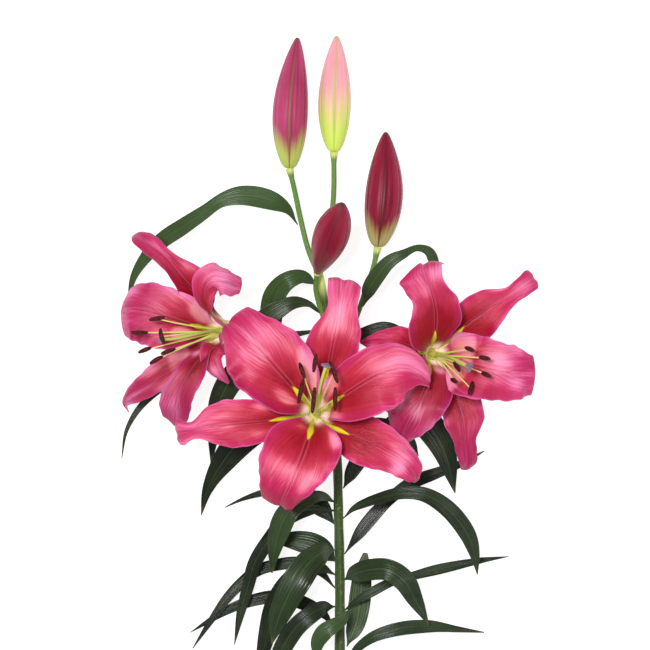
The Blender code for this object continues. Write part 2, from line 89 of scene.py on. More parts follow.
# Studio
TABLE_GAP = 0.05
TABLE_SIZE = 6.0
LENS, SENSOR_WIDTH = 200.0, 36.0
CAMERA_PLACE = (0.0, 0.048, 2.949)
LILY_MIDDLE = (0, 0, 0.05)
SKY_STRENGTH = 0.36

STEM_ROUTE = [(12, -329.9, 4.6), (12, -260, 6), (12, -204, 8), (11, -156, 11), (10, -110, 14),
              (7, -60, 19), (3, -10, 22), (-2, 28, 24), (-5, 44, 25)]

STALKS = {
    "first_bud": [
        (-4, 40, 24), (-10, 52, 24), (-15, 66, 23), (-20, 87, 22), (-24, 106, 18), (-28.8, 127, 14.5)],
    "second_bud": [(-4, 42, 24), (0, 56, 23), (4, 80, 21), (7, 106, 18), (7.2, 140.5, 13.8)],
    "third_bud": [(-1, 6, 23), (-5, 18, 26), (-7.4, 30, 32), (-6.2, 42.4, 42.4)],
    "fourth_bud": [(6, -36, 21), (18, -12, 22), (26, 8, 22), (33, 28, 20), (39, 46, 17), (42.8, 63, 15.3)],
    "center_flower": [(3, -12, 22), (-3, -34, 26), (-7, -54, 34), (-8.3, -66, 43)],
    "right_flower": [(7, -48, 20), (28, -42, 18), (55, -34, 20), (74, -26, 27), (82.6, -22.6, 34)],
    "left_flower": [
        (6, -54, 19), (-10, -43, 18), (-30, -28, 15), (-49, -15, 15), (-61, -9, 20), (-68, -7, 28)],
}

# Each bud runs from its base to its tip, with its greatest radius and how far up its belly sits.
BUDS = {
    "first_bud": ([(-29, 127.5, 14.4), (-28, 178, 14.4), (-22.4, 233.6, 13)], 14.2, 0.84),
    "second_bud": ([(7.2, 141, 13.6), (7.8, 184, 13.6), (9.4, 235, 12)], 13.2, 0.86),
    "third_bud": ([(-5.8, 43, 43.4), (4, 69, 73), (14, 96, 99)], 14.5, 1.25),
    "fourth_bud": ([(43, 63.5, 15.2), (48, 106, 15.2), (49.4, 156.8, 14)], 15.2, 0.86),
}

# Each flower has its receptacle's place, the direction it faces, the turn of its first petal in degrees,
# its anthers' places and lengths, and its style's points.
FLOWERS = {
    "center": {
        "receptacle": (-8, -71, 49), "axis": (0.03, 0.08, 0.99), "turn": 13,
        "stamens": [
            ((-18, -36, 112), (4, -12, 5)), ((-19, -52, 106), (-4, -19, 0)), ((-8, -30, 118), (-2, -14, 6)),
            ((-9, -59, 114), (-2, -20, -2)), ((7, -37, 118), (6, -17, 0)), ((8, -58, 110), (0, -18, 0))],
        "style": [(-7, -67, 80), (-5, -54, 104), (-2, -41, 117), (1, -32, 121)],
    },
    "right": {
        "receptacle": (84.5, -23, 39), "axis": (0.24, -0.05, 0.97), "turn": 111,
        "stamens": [
            ((114, -19, 104), (6.5, -2.5, 12)), ((126, -26, 102), (8, -1.5, 8)),
            ((104, -33, 97), (4, -7, 12)), ((127, -39, 98), (6.5, -3, 10)), ((102, -44, 96), (4, -2.5, 14)),
            ((115, -50, 94), (-3.5, -10, 10))],
        "style": [(91, -24, 68), (98, -25, 90), (106, -29, 106), (113, -33, 114)],
    },
    "left": {
        "receptacle": (-75, -4, 36), "axis": (-0.57, -0.07, 0.81), "turn": 45,
        "stamens": [
            ((-133, 5, 94), (-12, -2, 4)), ((-128, -9, 104), (3.5, -12, 4)), ((-147, -6, 92), (-13, 0, 4)),
            ((-143, -20, 82), (-10, -4, 6)), ((-124, -21, 96), (-11, -4, 4)),
            ((-134, -28, 84), (-10, -6, 4))],
        "style": [(-92, -5, 60), (-106, -8, 78), (-121, -11, 92), (-129, -11, 98)],
    },
}

# Each petal has its midrib's points beyond the trumpet, half its width on its anticlockwise side and on
# its clockwise side at equal steps beyond its neck, its roll in degrees, how pale it is, and how much
# painted shade it has: the ones that lie low or turn away are painted a duller, cooler red. Then come
# patches of painted highlight (paler) and painted shade (deeper), each with its place as a share of the
# length and of the half width (from -1 at the clockwise edge to 1), its reach along and across, and how
# much.
PETALS = {
    "center_petal_upper_right": (
        [(7, -61, 86), (21, -51, 97), (40, -40, 103), (60, -34, 102), (74, -37, 96), (82, -43, 89),
         (84, -47, 82), (82, -49, 76)],
        (5.8, 10, 17.5, 21, 23, 23, 20, 14, 8, 2), (5.8, 12, 21, 26.5, 29, 29, 25, 15, 6, 2), 0, 0.61, 0,
        [(0.69, -0.55, 0.15, 0.55, -0.42), (0.90, 0.6, 0.12, 0.5, 0.20), (0.28, 0.7, 0.12, 0.5, 0.35),
         (0.25, -0.7, 0.08, 0.4, 0.25), (0.55, 0.0, 0.10, 0.25, -0.12)]),
    "center_petal_upper_left": (
        [(-20, -55, 86), (-34, -39, 97), (-50, -21, 102), (-65, -6, 100), (-74, 1, 94), (-78, 3, 86),
         (-76, 1, 77)],
        (5.8, 12, 23, 28, 31.5, 33, 28.5, 19, 11, 2), (5.8, 12, 22, 28, 31, 30, 25, 21, 19, 4), 0, 0.5, 0.1,
        [(0.35, -0.8, 0.20, 0.35, 0.40), (0.34, 0.4, 0.12, 0.25, 0.35), (0.61, 0.9, 0.13, 0.35, -0.50),
         (0.62, 0.0, 0.15, 0.2, 0.12), (0.82, -0.35, 0.10, 0.25, -0.20)]),
    "center_petal_bottom": (
        [(-12, -86, 86), (-17, -101, 97), (-23, -116, 101), (-29, -130, 97), (-34, -141, 88),
         (-35, -146, 79), (-32, -143, 70)],
        (6, 13, 25, 29, 27.5, 22, 16.5, 12, 9, 3), (6, 13, 24, 32, 33, 31, 26.5, 22, 16, 6), 0, 0.55, 0,
        [(0.85, 0.0, 0.12, 1.5, -0.75), (0.58, -0.2, 0.08, 0.5, 0.12), (0.33, 0.8, 0.08, 0.3, 0.30),
         (0.27, -0.4, 0.05, 0.4, 0.20)]),
    "center_sepal_top": (
        [(1, -42, 78), (5, -21, 84), (9, 0, 88), (12, 20, 89), (14, 34, 84), (15, 38, 76), (14, 34, 68)],
        (5.3, 9, 16, 20, 21.5, 16.5, 9.5, 11, 12, 5), (5.3, 9, 15, 20, 21.5, 20, 15, 15, 15.5, 7),
        0, 0.58, 0,
        [(0.65, 0.0, 0.08, 0.3, 0.22), (0.62, 0.9, 0.10, 0.25, -0.22), (0.38, -0.5, 0.10, 0.3, 0.20),
         (0.86, 0.85, 0.08, 0.3, 0.22), (0.82, 0.0, 0.09, 1.0, -0.14)]),
    "center_sepal_left": (
        [(-31, -74, 76), (-50, -77, 82), (-71, -79, 84), (-95, -82, 82), (-111, -86, 77), (-119, -88, 69),
         (-118, -88, 60)],
        (5.3, 8, 13, 16.5, 18.5, 17.5, 12, 6.5, 9.5, 5), (5.3, 8, 14, 18, 20, 20.5, 16, 7.5, 13, 7),
        0, 0.56, 0,
        [(0.42, 0.6, 0.12, 0.5, 0.10), (0.36, -0.7, 0.10, 0.4, 0.25), (0.60, -0.35, 0.14, 0.35, 0.16),
         (0.59, 0.75, 0.10, 0.35, -0.35), (0.75, 0.1, 0.08, 0.25, 0.20), (0.47, 0.3, 0.09, 0.9, 0.12)]),
    "center_sepal_lower_right": (
        [(12, -84, 76), (29, -91, 81), (47, -99, 82), (63, -109, 77), (73, -120, 68), (74, -125, 58)],
        (5.3, 9, 16, 20, 20.5, 18, 15, 12, 9, 3), (5.3, 9, 15, 19.5, 20, 17.5, 14.5, 13, 9, 3), 0, 0.42, 0,
        [(0.68, 0.1, 0.10, 0.45, 0.30), (0.76, -0.5, 0.07, 0.5, 0.25), (0.42, 0.6, 0.10, 0.5, -0.20),
         (0.44, -0.9, 0.06, 0.25, 0.25), (0.76, -0.1, 0.06, 0.8, 0.20)]),
    "right_petal_top": (
        [(88, -7, 76), (88, 8, 88), (85, 23, 95), (81, 38, 96), (78, 47, 92), (77, 50, 84), (78, 46, 77)],
        (6, 13, 23, 25, 22, 17, 20, 22, 5, 1), (6, 9, 14, 19, 20.5, 18.5, 12, 13, 17, 9), 0, 0.36, 0.25,
        [(0.66, 0.15, 0.06, 0.35, 0.25), (0.78, -0.6, 0.08, 0.45, 0.55), (0.45, 0.0, 0.12, 0.8, -0.10)]),
    "right_petal_lower_left": (
        [(83, -43, 71), (77, -58, 75), (70, -72, 75), (63, -86, 67), (57, -98, 55)],
        (6, 12, 19, 22, 22, 20, 17, 13, 8, 2), (6, 12, 19, 22, 23, 23.5, 21, 16, 9, 2), 0, 0.7, 0.8,
        [(0.24, 0.6, 0.06, 0.6, 0.28), (0.56, 0.7, 0.12, 0.4, -0.32), (0.80, 0.0, 0.12, 1.2, -0.28),
         (0.62, 0.0, 0.10, 0.2, 0.10)]),
    "right_petal_right": (
        [(107, -27, 74), (119, -32, 85), (137, -36, 90), (154, -39, 88), (167, -39, 80)],
        (6, 11, 19, 23, 24.5, 24, 22, 22.5, 20, 15), (6, 12, 21, 26.5, 27.5, 26, 24, 23, 21, 18),
        0, 0.56, 0.2,
        [(0.33, 0.0, 0.14, 1.2, 0.50), (0.70, 0.3, 0.12, 0.4, 0.28), (0.74, -0.85, 0.16, 0.3, -0.35),
         (0.86, -0.4, 0.06, 0.3, 0.20), (0.97, 0.8, 0.05, 0.4, -0.15), (0.44, 0.2, 0.06, 1.0, 0.22)]),
    "right_sepal_left": (
        [(70, -18, 60), (58, -14, 63), (44, -13, 61), (28, -14, 54)],
        (5.3, 8, 11, 13, 14, 13, 11, 9, 6, 1), (5.3, 8, 11, 13, 14, 13, 10, 8, 5, 1), 0, 0.45, 0,
        [(0.65, -0.3, 0.10, 0.8, 0.15)]),
    "right_sepal_lower_right": (
        [(100, -47, 56), (107, -64, 59), (111, -82, 59), (113, -100, 53), (114, -112, 46), (112, -117, 38)],
        (5.3, 9, 13, 17, 18.5, 17, 9.5, 9, 9, 5), (5.3, 8, 9, 11, 15, 14.5, 10, 8.5, 6.5, 3), 0, 0.45, 0.6,
        [(0.45, 0.8, 0.07, 0.4, 0.20), (0.54, -0.85, 0.05, 0.3, 0.20), (0.78, 0.0, 0.15, 1.2, -0.30)]),
    "right_sepal_upper_right": (
        [(104, -8, 65), (115, 2, 71), (129, 12, 74), (144, 22, 73), (160, 33, 67), (168, 38, 60),
         (168, 37, 52)],
        (5.3, 8, 13.5, 18, 18, 14, 7, 7, 9, 6), (5.3, 9, 16, 20, 18, 13, 9, 9, 9, 6), 0, 0.4, 0,
        [(0.45, 0.8, 0.08, 0.4, 0.18), (0.66, 0.95, 0.08, 0.25, 0.35), (0.82, -0.3, 0.10, 0.8, 0.32),
         (0.46, -0.8, 0.10, 0.4, -0.20)]),
    "left_petal_upper_right": (
        [(-92, 10, 74), (-96, 21, 88), (-94, 32, 97), (-86, 37, 100), (-76, 36, 96), (-66, 31, 86)],
        (5, 4, 4, 4.4, 5, 8.5, 12.5, 13, 12, 8), (5, 4.4, 4.4, 5, 6.5, 10.5, 14, 15, 13, 7), 0, 0.66, 0.25,
        [(0.60, 0.5, 0.12, 0.8, -0.35), (0.66, -0.8, 0.14, 0.45, -0.30), (0.80, 0.0, 0.12, 0.2, 0.10)]),
    "left_petal_left": (
        [(-110, 1, 62), (-125, 6, 70), (-141, 11, 72), (-155, 13, 69), (-162, 12.5, 61), (-163.5, 13, 52)],
        (6, 10, 17, 22, 25.5, 27, 26.5, 25, 23, 16), (6, 11, 19, 22.5, 23.5, 23.5, 23, 21, 18, 13),
        0, 0.64, 0.4,
        [(0.30, -0.7, 0.13, 0.5, 0.48), (0.40, 0.4, 0.12, 0.3, 0.38), (0.52, -0.9, 0.08, 0.3, 0.20),
         (0.56, 0.95, 0.08, 0.3, -0.30), (0.74, -0.4, 0.10, 0.7, -0.25), (0.76, 0.8, 0.10, 0.45, -0.45)]),
    "left_petal_bottom": (
        [(-98, -24, 64), (-108, -38, 70), (-115, -53, 69), (-118, -67, 63), (-119, -77, 55),
         (-119, -82, 46)],
        (6, 8, 11, 13, 13, 12, 11, 10.5, 9, 2), (6, 8, 9.5, 10, 10.5, 12, 15, 15.5, 12, 3), 0, 0.44, 0.8,
        [(0.68, -0.9, 0.12, 0.3, 0.25), (0.35, -0.6, 0.06, 0.5, 0.30), (0.65, 0.0, 0.10, 0.2, 0.10),
         (0.70, 0.4, 0.12, 0.3, -0.30)]),
    "left_sepal_upper_left": (
        [(-99, 16, 58), (-106, 28, 67), (-116, 41, 73), (-127, 55, 76), (-139, 66, 74), (-147, 72, 69),
         (-150, 74, 61)],
        (5.3, 8, 10, 10.5, 10, 9, 9, 10.5, 10, 6), (5.3, 9, 14.5, 17.5, 16, 11.5, 6.5, 7.5, 9, 5),
        25, 0.36, 0.3,
        [(0.62, 0.7, 0.16, 0.5, -0.40), (0.56, -0.4, 0.06, 0.3, 0.18), (0.80, -0.3, 0.10, 0.6, 0.15)]),
    "left_sepal_lower_left": (
        [(-104, -26, 46), (-115, -32, 48), (-128, -40, 47), (-142, -50, 42), (-156, -58, 32),
         (-163, -65, 20), (-160, -71, 13)],
        (5.3, 8, 10, 10.5, 10, 8.5, 7.5, 6.5, 3, 1), (5.3, 9, 13, 14.5, 14.5, 13, 11, 8, 4, 1),
        0, 0.74, 0.6,
        [(0.36, -0.7, 0.08, 0.5, 0.40), (0.72, -0.4, 0.14, 0.3, -0.25), (0.72, 0.2, 0.14, 1.2, -0.26),
         (0.45, 0.0, 0.06, 0.5, 0.22)]),
    "left_sepal_lower_right": (
        [(-86, -17, 66), (-89, -27, 69), (-85, -37, 65), (-77, -47, 54)],
        (5, 6, 7, 8, 8, 7, 6, 4.5, 3, 1), (5, 7, 9, 11, 12, 11, 9.5, 7, 4, 1), 0, 0.6, 0.35,
        [(0.45, -0.9, 0.06, 0.3, 0.40), (0.59, 0.2, 0.12, 0.8, -0.32), (0.76, -0.3, 0.06, 0.6, 0.18)]),
}

# Each leaf has its midrib's points, half its width at equal steps beyond its neck, and how pale it is,
# partly its own lighter green and partly a painted highlight.
LEAVES = {
    "leaf_right_lowest": (
        [(18, -274, 9), (27, -262, 15), (41, -252, 20), (62, -246, 20), (86, -245, 13), (108, -248, 5),
         (130, -251, 0.5)], (4, 5.6, 5.6, 3, 0.4), 0.25),
    "leaf_right_low_arch": (
        [(17.5, -206, 16), (25, -201, 28), (37, -197, 38), (51, -197, 45), (64, -206, 43), (73, -222, 32),
         (84, -243, 22)], (8, 9, 9, 6, 0.4), 0.25),
    "leaf_right_far": (
        [(17.6, -231, 9), (26, -224, 12), (38, -217, 14), (54, -209, 13), (72, -204, 10), (88, -200, 7),
         (107, -196, 4), (128, -192, 2), (150, -189, 0.5)], (4, 3.4, 4.4, 3, 0.3), 0.15),
    "leaf_right_high_arch": (
        [(17, -155, 16), (24, -148, 26), (39, -141, 38), (60, -135, 50), (80, -136, 53), (99, -148, 48),
         (114, -167, 36), (121, -185, 24), (124, -203, 12)], (4, 5.4, 7.2, 6.4, 0.4), 0.2),
    "leaf_right_passing": (
        [(18.4, -183, 8), (26, -172, 10), (36, -159, 10), (51, -143, 9), (70, -129, 7), (90, -121, 5),
         (111, -113, 3), (130, -103, 0.5)], (5.5, 5, 5.5, 3.6, 0.3), 0),
    "leaf_right_short": (
        [(19.5, -258, 4), (25, -244, 3), (28, -227, 3), (30, -208, 3), (33, -186, 2)],
        (7, 9, 9, 7, 2), 0.6),
    "leaf_under_right_flower": (
        [(13, -66, 21), (36, -56, 28), (63, -64, 33), (83, -80, 33), (97, -103, 24), (106, -137, 6)],
        (9, 12, 12, 8, 0.4), 0.1),
    "leaf_behind_petals": (
        [(15, -93, 14), (33, -84, 16), (52, -84, 16), (68, -94, 12), (76, -107, 6)], (7, 8, 7, 5, 0.4), 0),
    "leaf_right_middle": (
        [(17, -129, 10), (25, -114, 10), (36, -99, 8), (48, -84, 5), (60, -68, 2)], (6, 7, 6, 4, 0.4), 0),
    "leaf_fourth_bud": (
        [(32, 18, 26), (36, 30, 38), (43, 41, 44), (52, 51, 48), (63, 57, 48), (74, 62, 43), (84, 59, 35),
         (89, 48, 25), (92, 35, 16)], (6.4, 5.8, 2.8, 4.4, 1.2), 0.6),
    "leaf_right_upper": (
        [(10, -24, 26), (19, -13, 33), (33, -6, 38), (47, -2, 39), (58, -5, 38), (66, -14, 35),
         (70, -24, 32)], (4.5, 5, 5, 4, 0.5), 0.2),
    "leaf_first_bud": (
        [(-24, 84, 25), (-31, 94, 36), (-46, 101, 45), (-66, 104, 50), (-83, 100, 50), (-98, 90, 46),
         (-115, 79, 40), (-132, 68, 32), (-146, 54, 22), (-156, 38, 11), (-161, 18, 0.5)],
        (5, 8.4, 8, 5.4, 6.2, 7, 6.4, 4.6, 2.6, 0.4), 0.75),
    "leaf_left_curled": (
        [(-9, 34, 29), (-19, 39, 41), (-31, 35, 44), (-40, 25, 37), (-43, 12, 28), (-42, 1, 22),
         (-38, -8, 19)], (5, 8, 9.5, 9, 4), 0.8),
    "leaf_left_upper": (
        [(-5.6, 11, 28), (-13, 17, 40), (-25, 18, 48), (-38, 12, 49), (-50, 3, 46), (-57, -7, 42),
         (-60, -18, 38)], (2.4, 5.5, 8, 8, 3), 0.4),
    "leaf_left_flower": (
        [(-0.5, -31, 20), (-14, -24, 22), (-32, -20, 24), (-57, -28, 26), (-74, -42, 26), (-85, -61, 20),
         (-90, -83, 11), (-93, -114, 0.5)], (8, 10.5, 10, 6, 0.4), 0.15),
    "leaf_left_broad": (
        [(3, -95, 16), (-20, -81, 20), (-48, -82, 26), (-70, -96, 26), (-86, -116, 17), (-96, -135, 8),
         (-101, -155, 0.5)], (8, 11, 11.2, 6, 0.4), 0.1),
    "leaf_left_far": (
        [(-3, -4, 15), (-28, -8, 12), (-51, -10, 10), (-79, -19, 8), (-106, -31, 6), (-130, -48, 5),
         (-150, -66, 3), (-162, -86, 2), (-166, -109, 0.5)], (3.5, 4, 4, 2.6, 0.3), 0.2),
    "leaf_left_low_behind": (
        [(6, -160, 6), (-4, -148, 5), (-18, -138, 4), (-34, -134, 3), (-51, -137, 2), (-67, -142, 1.5),
         (-82, -149, 0.5)], (8, 7, 4, 2, 0.3), 0),
    "leaf_left_hanging": (
        [(6, -143, 16), (-4, -138, 32), (-18, -142, 42), (-30, -151, 44), (-37, -166, 39), (-41, -183, 31),
         (-43, -201, 24)], (4, 7.5, 9.3, 6, 0.4), 0.45),
    "leaf_left_narrow": (
        [(6, -151, 9), (-12, -150, 14), (-32, -158, 21), (-46, -175, 22), (-57, -193, 18), (-63, -214, 12),
         (-69, -236, 7), (-74, -261, 0.5)], (5.6, 6, 5.6, 4, 0.3), 0.1),
    "leaf_left_short": (
        [(6, -190, 11), (-6, -180, 14), (-19, -176, 13), (-34, -175, 10), (-50, -177, 6)],
        (8.5, 9.6, 8, 4, 0.4), 0.3),
    "leaf_left_sweep": (
        [(6, -212, 5), (-4, -201, 6), (-19, -194, 5), (-37, -195, 5), (-55, -200, 6), (-69, -211, 7),
         (-81, -224, 7), (-93, -241, 6), (-108, -264, 2)], (4.8, 5, 4.6, 3, 0.3), 0.1),
    "leaf_left_lowest": (
        [(5.4, -244, 4), (-2, -235, 4), (-15, -228, 3), (-29, -223, 3), (-45, -222, 2), (-63, -226, 0.5),
         (-82, -234, 0.5), (-110, -251, 0.5)], (5.6, 5.8, 4.8, 3, 0.3), 0.1),
    "leaf_front_broad": (
        [(6, -183, 20), (-3, -184, 34), (-14, -193, 42), (-23, -206, 46), (-31, -221, 43), (-38, -238, 34),
         (-43, -258, 26)], (9, 12, 11, 8, 0.5), 0.3),
    "leaf_left_dark": (
        [(6, -202, 12), (-4, -197, 19), (-18, -199, 23), (-31, -211, 24), (-41, -229, 20), (-47, -251, 14),
         (-52, -273, 8), (-57, -297, 0.5)], (7, 9, 8, 5, 0.4), 0.1),
    "leaf_front_lower": (
        [(6, -229, 14), (-2, -229, 26), (-13, -235, 33), (-24, -245, 32), (-34, -261, 25), (-42, -280, 15),
         (-48, -301, 4)], (6.6, 8, 7.6, 5, 0.4), 0.12),
    "leaf_front_folded": (
        [(18, -233, 22), (13, -239, 32), (6, -243, 36), (-1, -248, 36), (-6, -257, 33), (-7, -271, 27)],
        (4, 6, 7, 5, 0.4), 0.6),
}


# Curves

def between(knots, u):
    """A smooth curve through equally spaced numbers or places, at share u of its length."""
    last = len(knots) - 1
    at = min(max(u, 0.0), 1.0) * last
    i = min(int(at), last - 1)
    s = at - i
    b, c = knots[i], knots[i + 1]
    a = knots[i - 1] if i else 2 * b - c
    d = knots[i + 2] if i + 2 <= last else 2 * c - b
    line = 2 * b + (c - a) * s
    return 0.5 * (line + (2 * a - 5 * b + 4 * c - d) * s * s + (3 * b - a - 3 * c + d) * s ** 3)


def smooth_route(points, count):
    """Places at equal distances on a smooth curve that passes through every point."""
    knots = [Vector(p) for p in points]
    steps = 16 * (len(knots) - 1)
    fine = [between(knots, k / steps) for k in range(steps + 1)]
    lengths = [0.0]
    for a, b in zip(fine, fine[1:]):
        lengths.append(lengths[-1] + (b - a).length)
    route, place = [], 0
    for i in range(count + 1):
        target = lengths[-1] * i / count
        while place < len(fine) - 2 and lengths[place + 1] < target:
            place += 1
        share = (target - lengths[place]) / max(lengths[place + 1] - lengths[place], 1e-9)
        route.append(fine[place].lerp(fine[place + 1], min(share, 1.0)))
    return route


def direction_at(route, i):
    return (route[min(i + 1, len(route) - 1)] - route[max(i - 1, 0)]).normalized()


def ease(low, high, value):
    """Rises smoothly from 0 at low to 1 at high."""
    share = min(1.0, max(0.0, (value - low) / (high - low)))
    return share * share * (3 - 2 * share)


def to_world(place):
    return (place - PLAN_CENTRE) * MM


# Pieces

def paint_points(data, label, values):
    """Stores a number at each point, which the finishes read by its label."""
    layer = data.attributes.new(label, "FLOAT", "POINT")
    layer.data.foreach_set("value", values)


def add_piece(name, mesh, finishes, node, seed, tone):
    """Turns a bmesh into a piece that rides on the lily and stands for one of its nodes."""
    data = bpy.data.meshes.new(name)
    mesh.to_mesh(data)
    mesh.free()
    for label, value in (("seed", seed), ("tone", tone)):
        paint_points(data, label, [value] * len(data.vertices))
    item = bpy.data.objects.new(name, data)
    bpy.context.scene.collection.objects.link(item)
    for finish in finishes:
        data.materials.append(finish)
    data.shade_smooth()
    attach(item, "root")
    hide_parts(node)
    return item


def painted_light_at(t, v, patches):
    """How much painted highlight, or painted shade below zero, the patches put on a petal at share t of its
    length.
    """
    return sum(amount * math.exp(-((t - middle) / along) ** 2 - ((v - beside) / wide) ** 2)
               for middle, beside, along, wide, amount in patches)


def blade(node, route, across, shape_at, thickness, columns, finishes, seed, tone,
          painted_shade=0, patches=()):
    """A petal or leaf: a grid bent to its cross-sections, with a wall that thins towards its edges."""
    rows = len(route) - 1
    mesh = bmesh.new()
    map_layer = mesh.loops.layers.uv.new("Blade")
    bmesh.ops.create_grid(mesh, x_segments=columns, y_segments=rows, size=1.0)
    for face in mesh.faces:
        for loop in face.loops:
            spot = loop.vert.co
            loop[map_layer].uv = ((1 - spot.x) / 2, (spot.y + 1) / 2)
    frames = []
    for row in range(rows + 1):
        ahead = direction_at(route, row)
        side = across(row, ahead)
        frames.append((route[row], side, ahead.cross(side)))
    edge, painted_lights = {}, []
    for vertex in mesh.verts:
        row = round((vertex.co.y + 1) / 2 * rows)
        v = -vertex.co.x
        middle, side, inward = frames[row]
        aside, rise = shape_at(row / rows, v, row)
        place = middle + side * aside + inward * rise
        place.z = max(place.z, thickness)
        vertex.co = to_world(place)
        edge[vertex.index] = 1.0 - RIM_THINNING * abs(v) ** 1.5 * (1 if row else 0.5)
        painted_lights.append(painted_light_at(row / rows, v, patches))
    item = add_piece(node, mesh, finishes, node, seed, tone)
    # Painted highlight and painted shade from the patches, and the painted shade of the whole petal, stored
    # at each point.
    paint_points(item.data, "painted_light", painted_lights)
    paint_points(item.data, "painted_shade", [painted_shade] * len(painted_lights))
    group = item.vertex_groups.new(name="Wall")
    for index, weight in edge.items():
        group.add([index], weight, "REPLACE")
    solid = item.modifiers.new("Wall", "SOLIDIFY")
    solid.thickness = thickness * MM
    solid.offset = -1.0
    solid.vertex_group = "Wall"
    solid.material_offset = 1
    solid.material_offset_rim = 0


def arch(width, cup, v):
    """Where share v of half the width lands on an arc of that half angle."""
    if abs(cup) < 0.01:
        return width * v, 0.0
    return width * math.sin(cup * v) / cup, width * (1 - math.cos(cup * v)) / cup


def tube(name, route, radius_at, sides, finish, node, seed, tone=0.0, start=None):
    """A closed round piece along a route, whose radius depends on the share of the length and the angle."""
    mesh = bmesh.new()
    map_layer = mesh.loops.layers.uv.new("Blade")
    last = len(route) - 1
    ring = bmesh.ops.create_circle(mesh, segments=sides, radius=1.0)["verts"]
    edges = mesh.edges[:]
    angles = [TURN * k / sides for k in range(sides)]
    shares = {}
    side = start or direction_at(route, 0).orthogonal().normalized()
    for i, middle in enumerate(route):
        ahead = direction_at(route, i)
        side = (side - ahead * side.dot(ahead)).normalized()
        other = ahead.cross(side)
        if i:
            before = [vertex.co.copy() for vertex in ring]
            moved = bmesh.ops.extrude_edge_only(mesh, edges=edges)["geom"]
            edges = [part for part in moved if isinstance(part, bmesh.types.BMEdge)]
            fresh = [part for part in moved if isinstance(part, bmesh.types.BMVert)]
            ring = match_ring(before, fresh)
        for vertex, angle in zip(ring, angles):
            radius = radius_at(i / last, angle)
            place = middle + (side * math.cos(angle) + other * math.sin(angle)) * radius
            place.z = max(place.z, TABLE_GAP)
            vertex.co = to_world(place)
            shares[vertex] = (angle / TURN, i / last)
    bmesh.ops.holes_fill(mesh, edges=mesh.edges)
    for face in mesh.faces:
        turns = [shares[loop.vert][0] for loop in face.loops]
        wraps = len(turns) == 4 and max(turns) - min(turns) > 0.5
        for loop in face.loops:
            turn, along = shares[loop.vert]
            loop[map_layer].uv = (turn + 1 if wraps and turn < 0.5 else turn, along)
    bmesh.ops.recalc_face_normals(mesh, faces=mesh.faces)
    add_piece(name, mesh, [finish], node, seed, tone)


def match_ring(before, fresh):
    """Puts an extruded ring's points in the order of the ring they came from."""
    spots = {tuple(round(c, 7) for c in vertex.co): vertex for vertex in fresh}
    return [spots[tuple(round(c, 7) for c in spot)] for spot in before]


# Finishes

def paint(red, green, blue):
    """A screen colour of 0 to 255 as the linear colour that a shader takes."""
    def linear(part):
        part /= 255
        return part / 12.92 if part <= 0.04045 else ((part + 0.055) / 1.055) ** 2.4
    return (linear(red), linear(green), linear(blue), 1.0)


BLACK, WHITE = (0, 0, 0, 1), (1, 1, 1, 1)
SEED_STEP, SIDE_STEP = 7.3, 31.0     # how far apart two pieces, and a petal's two sides, read a pattern
FACE_SLANT, BACK_SLANT = 1.3, 1.0
SHADE_FILTER = (0.68, 0.88, 0.90)


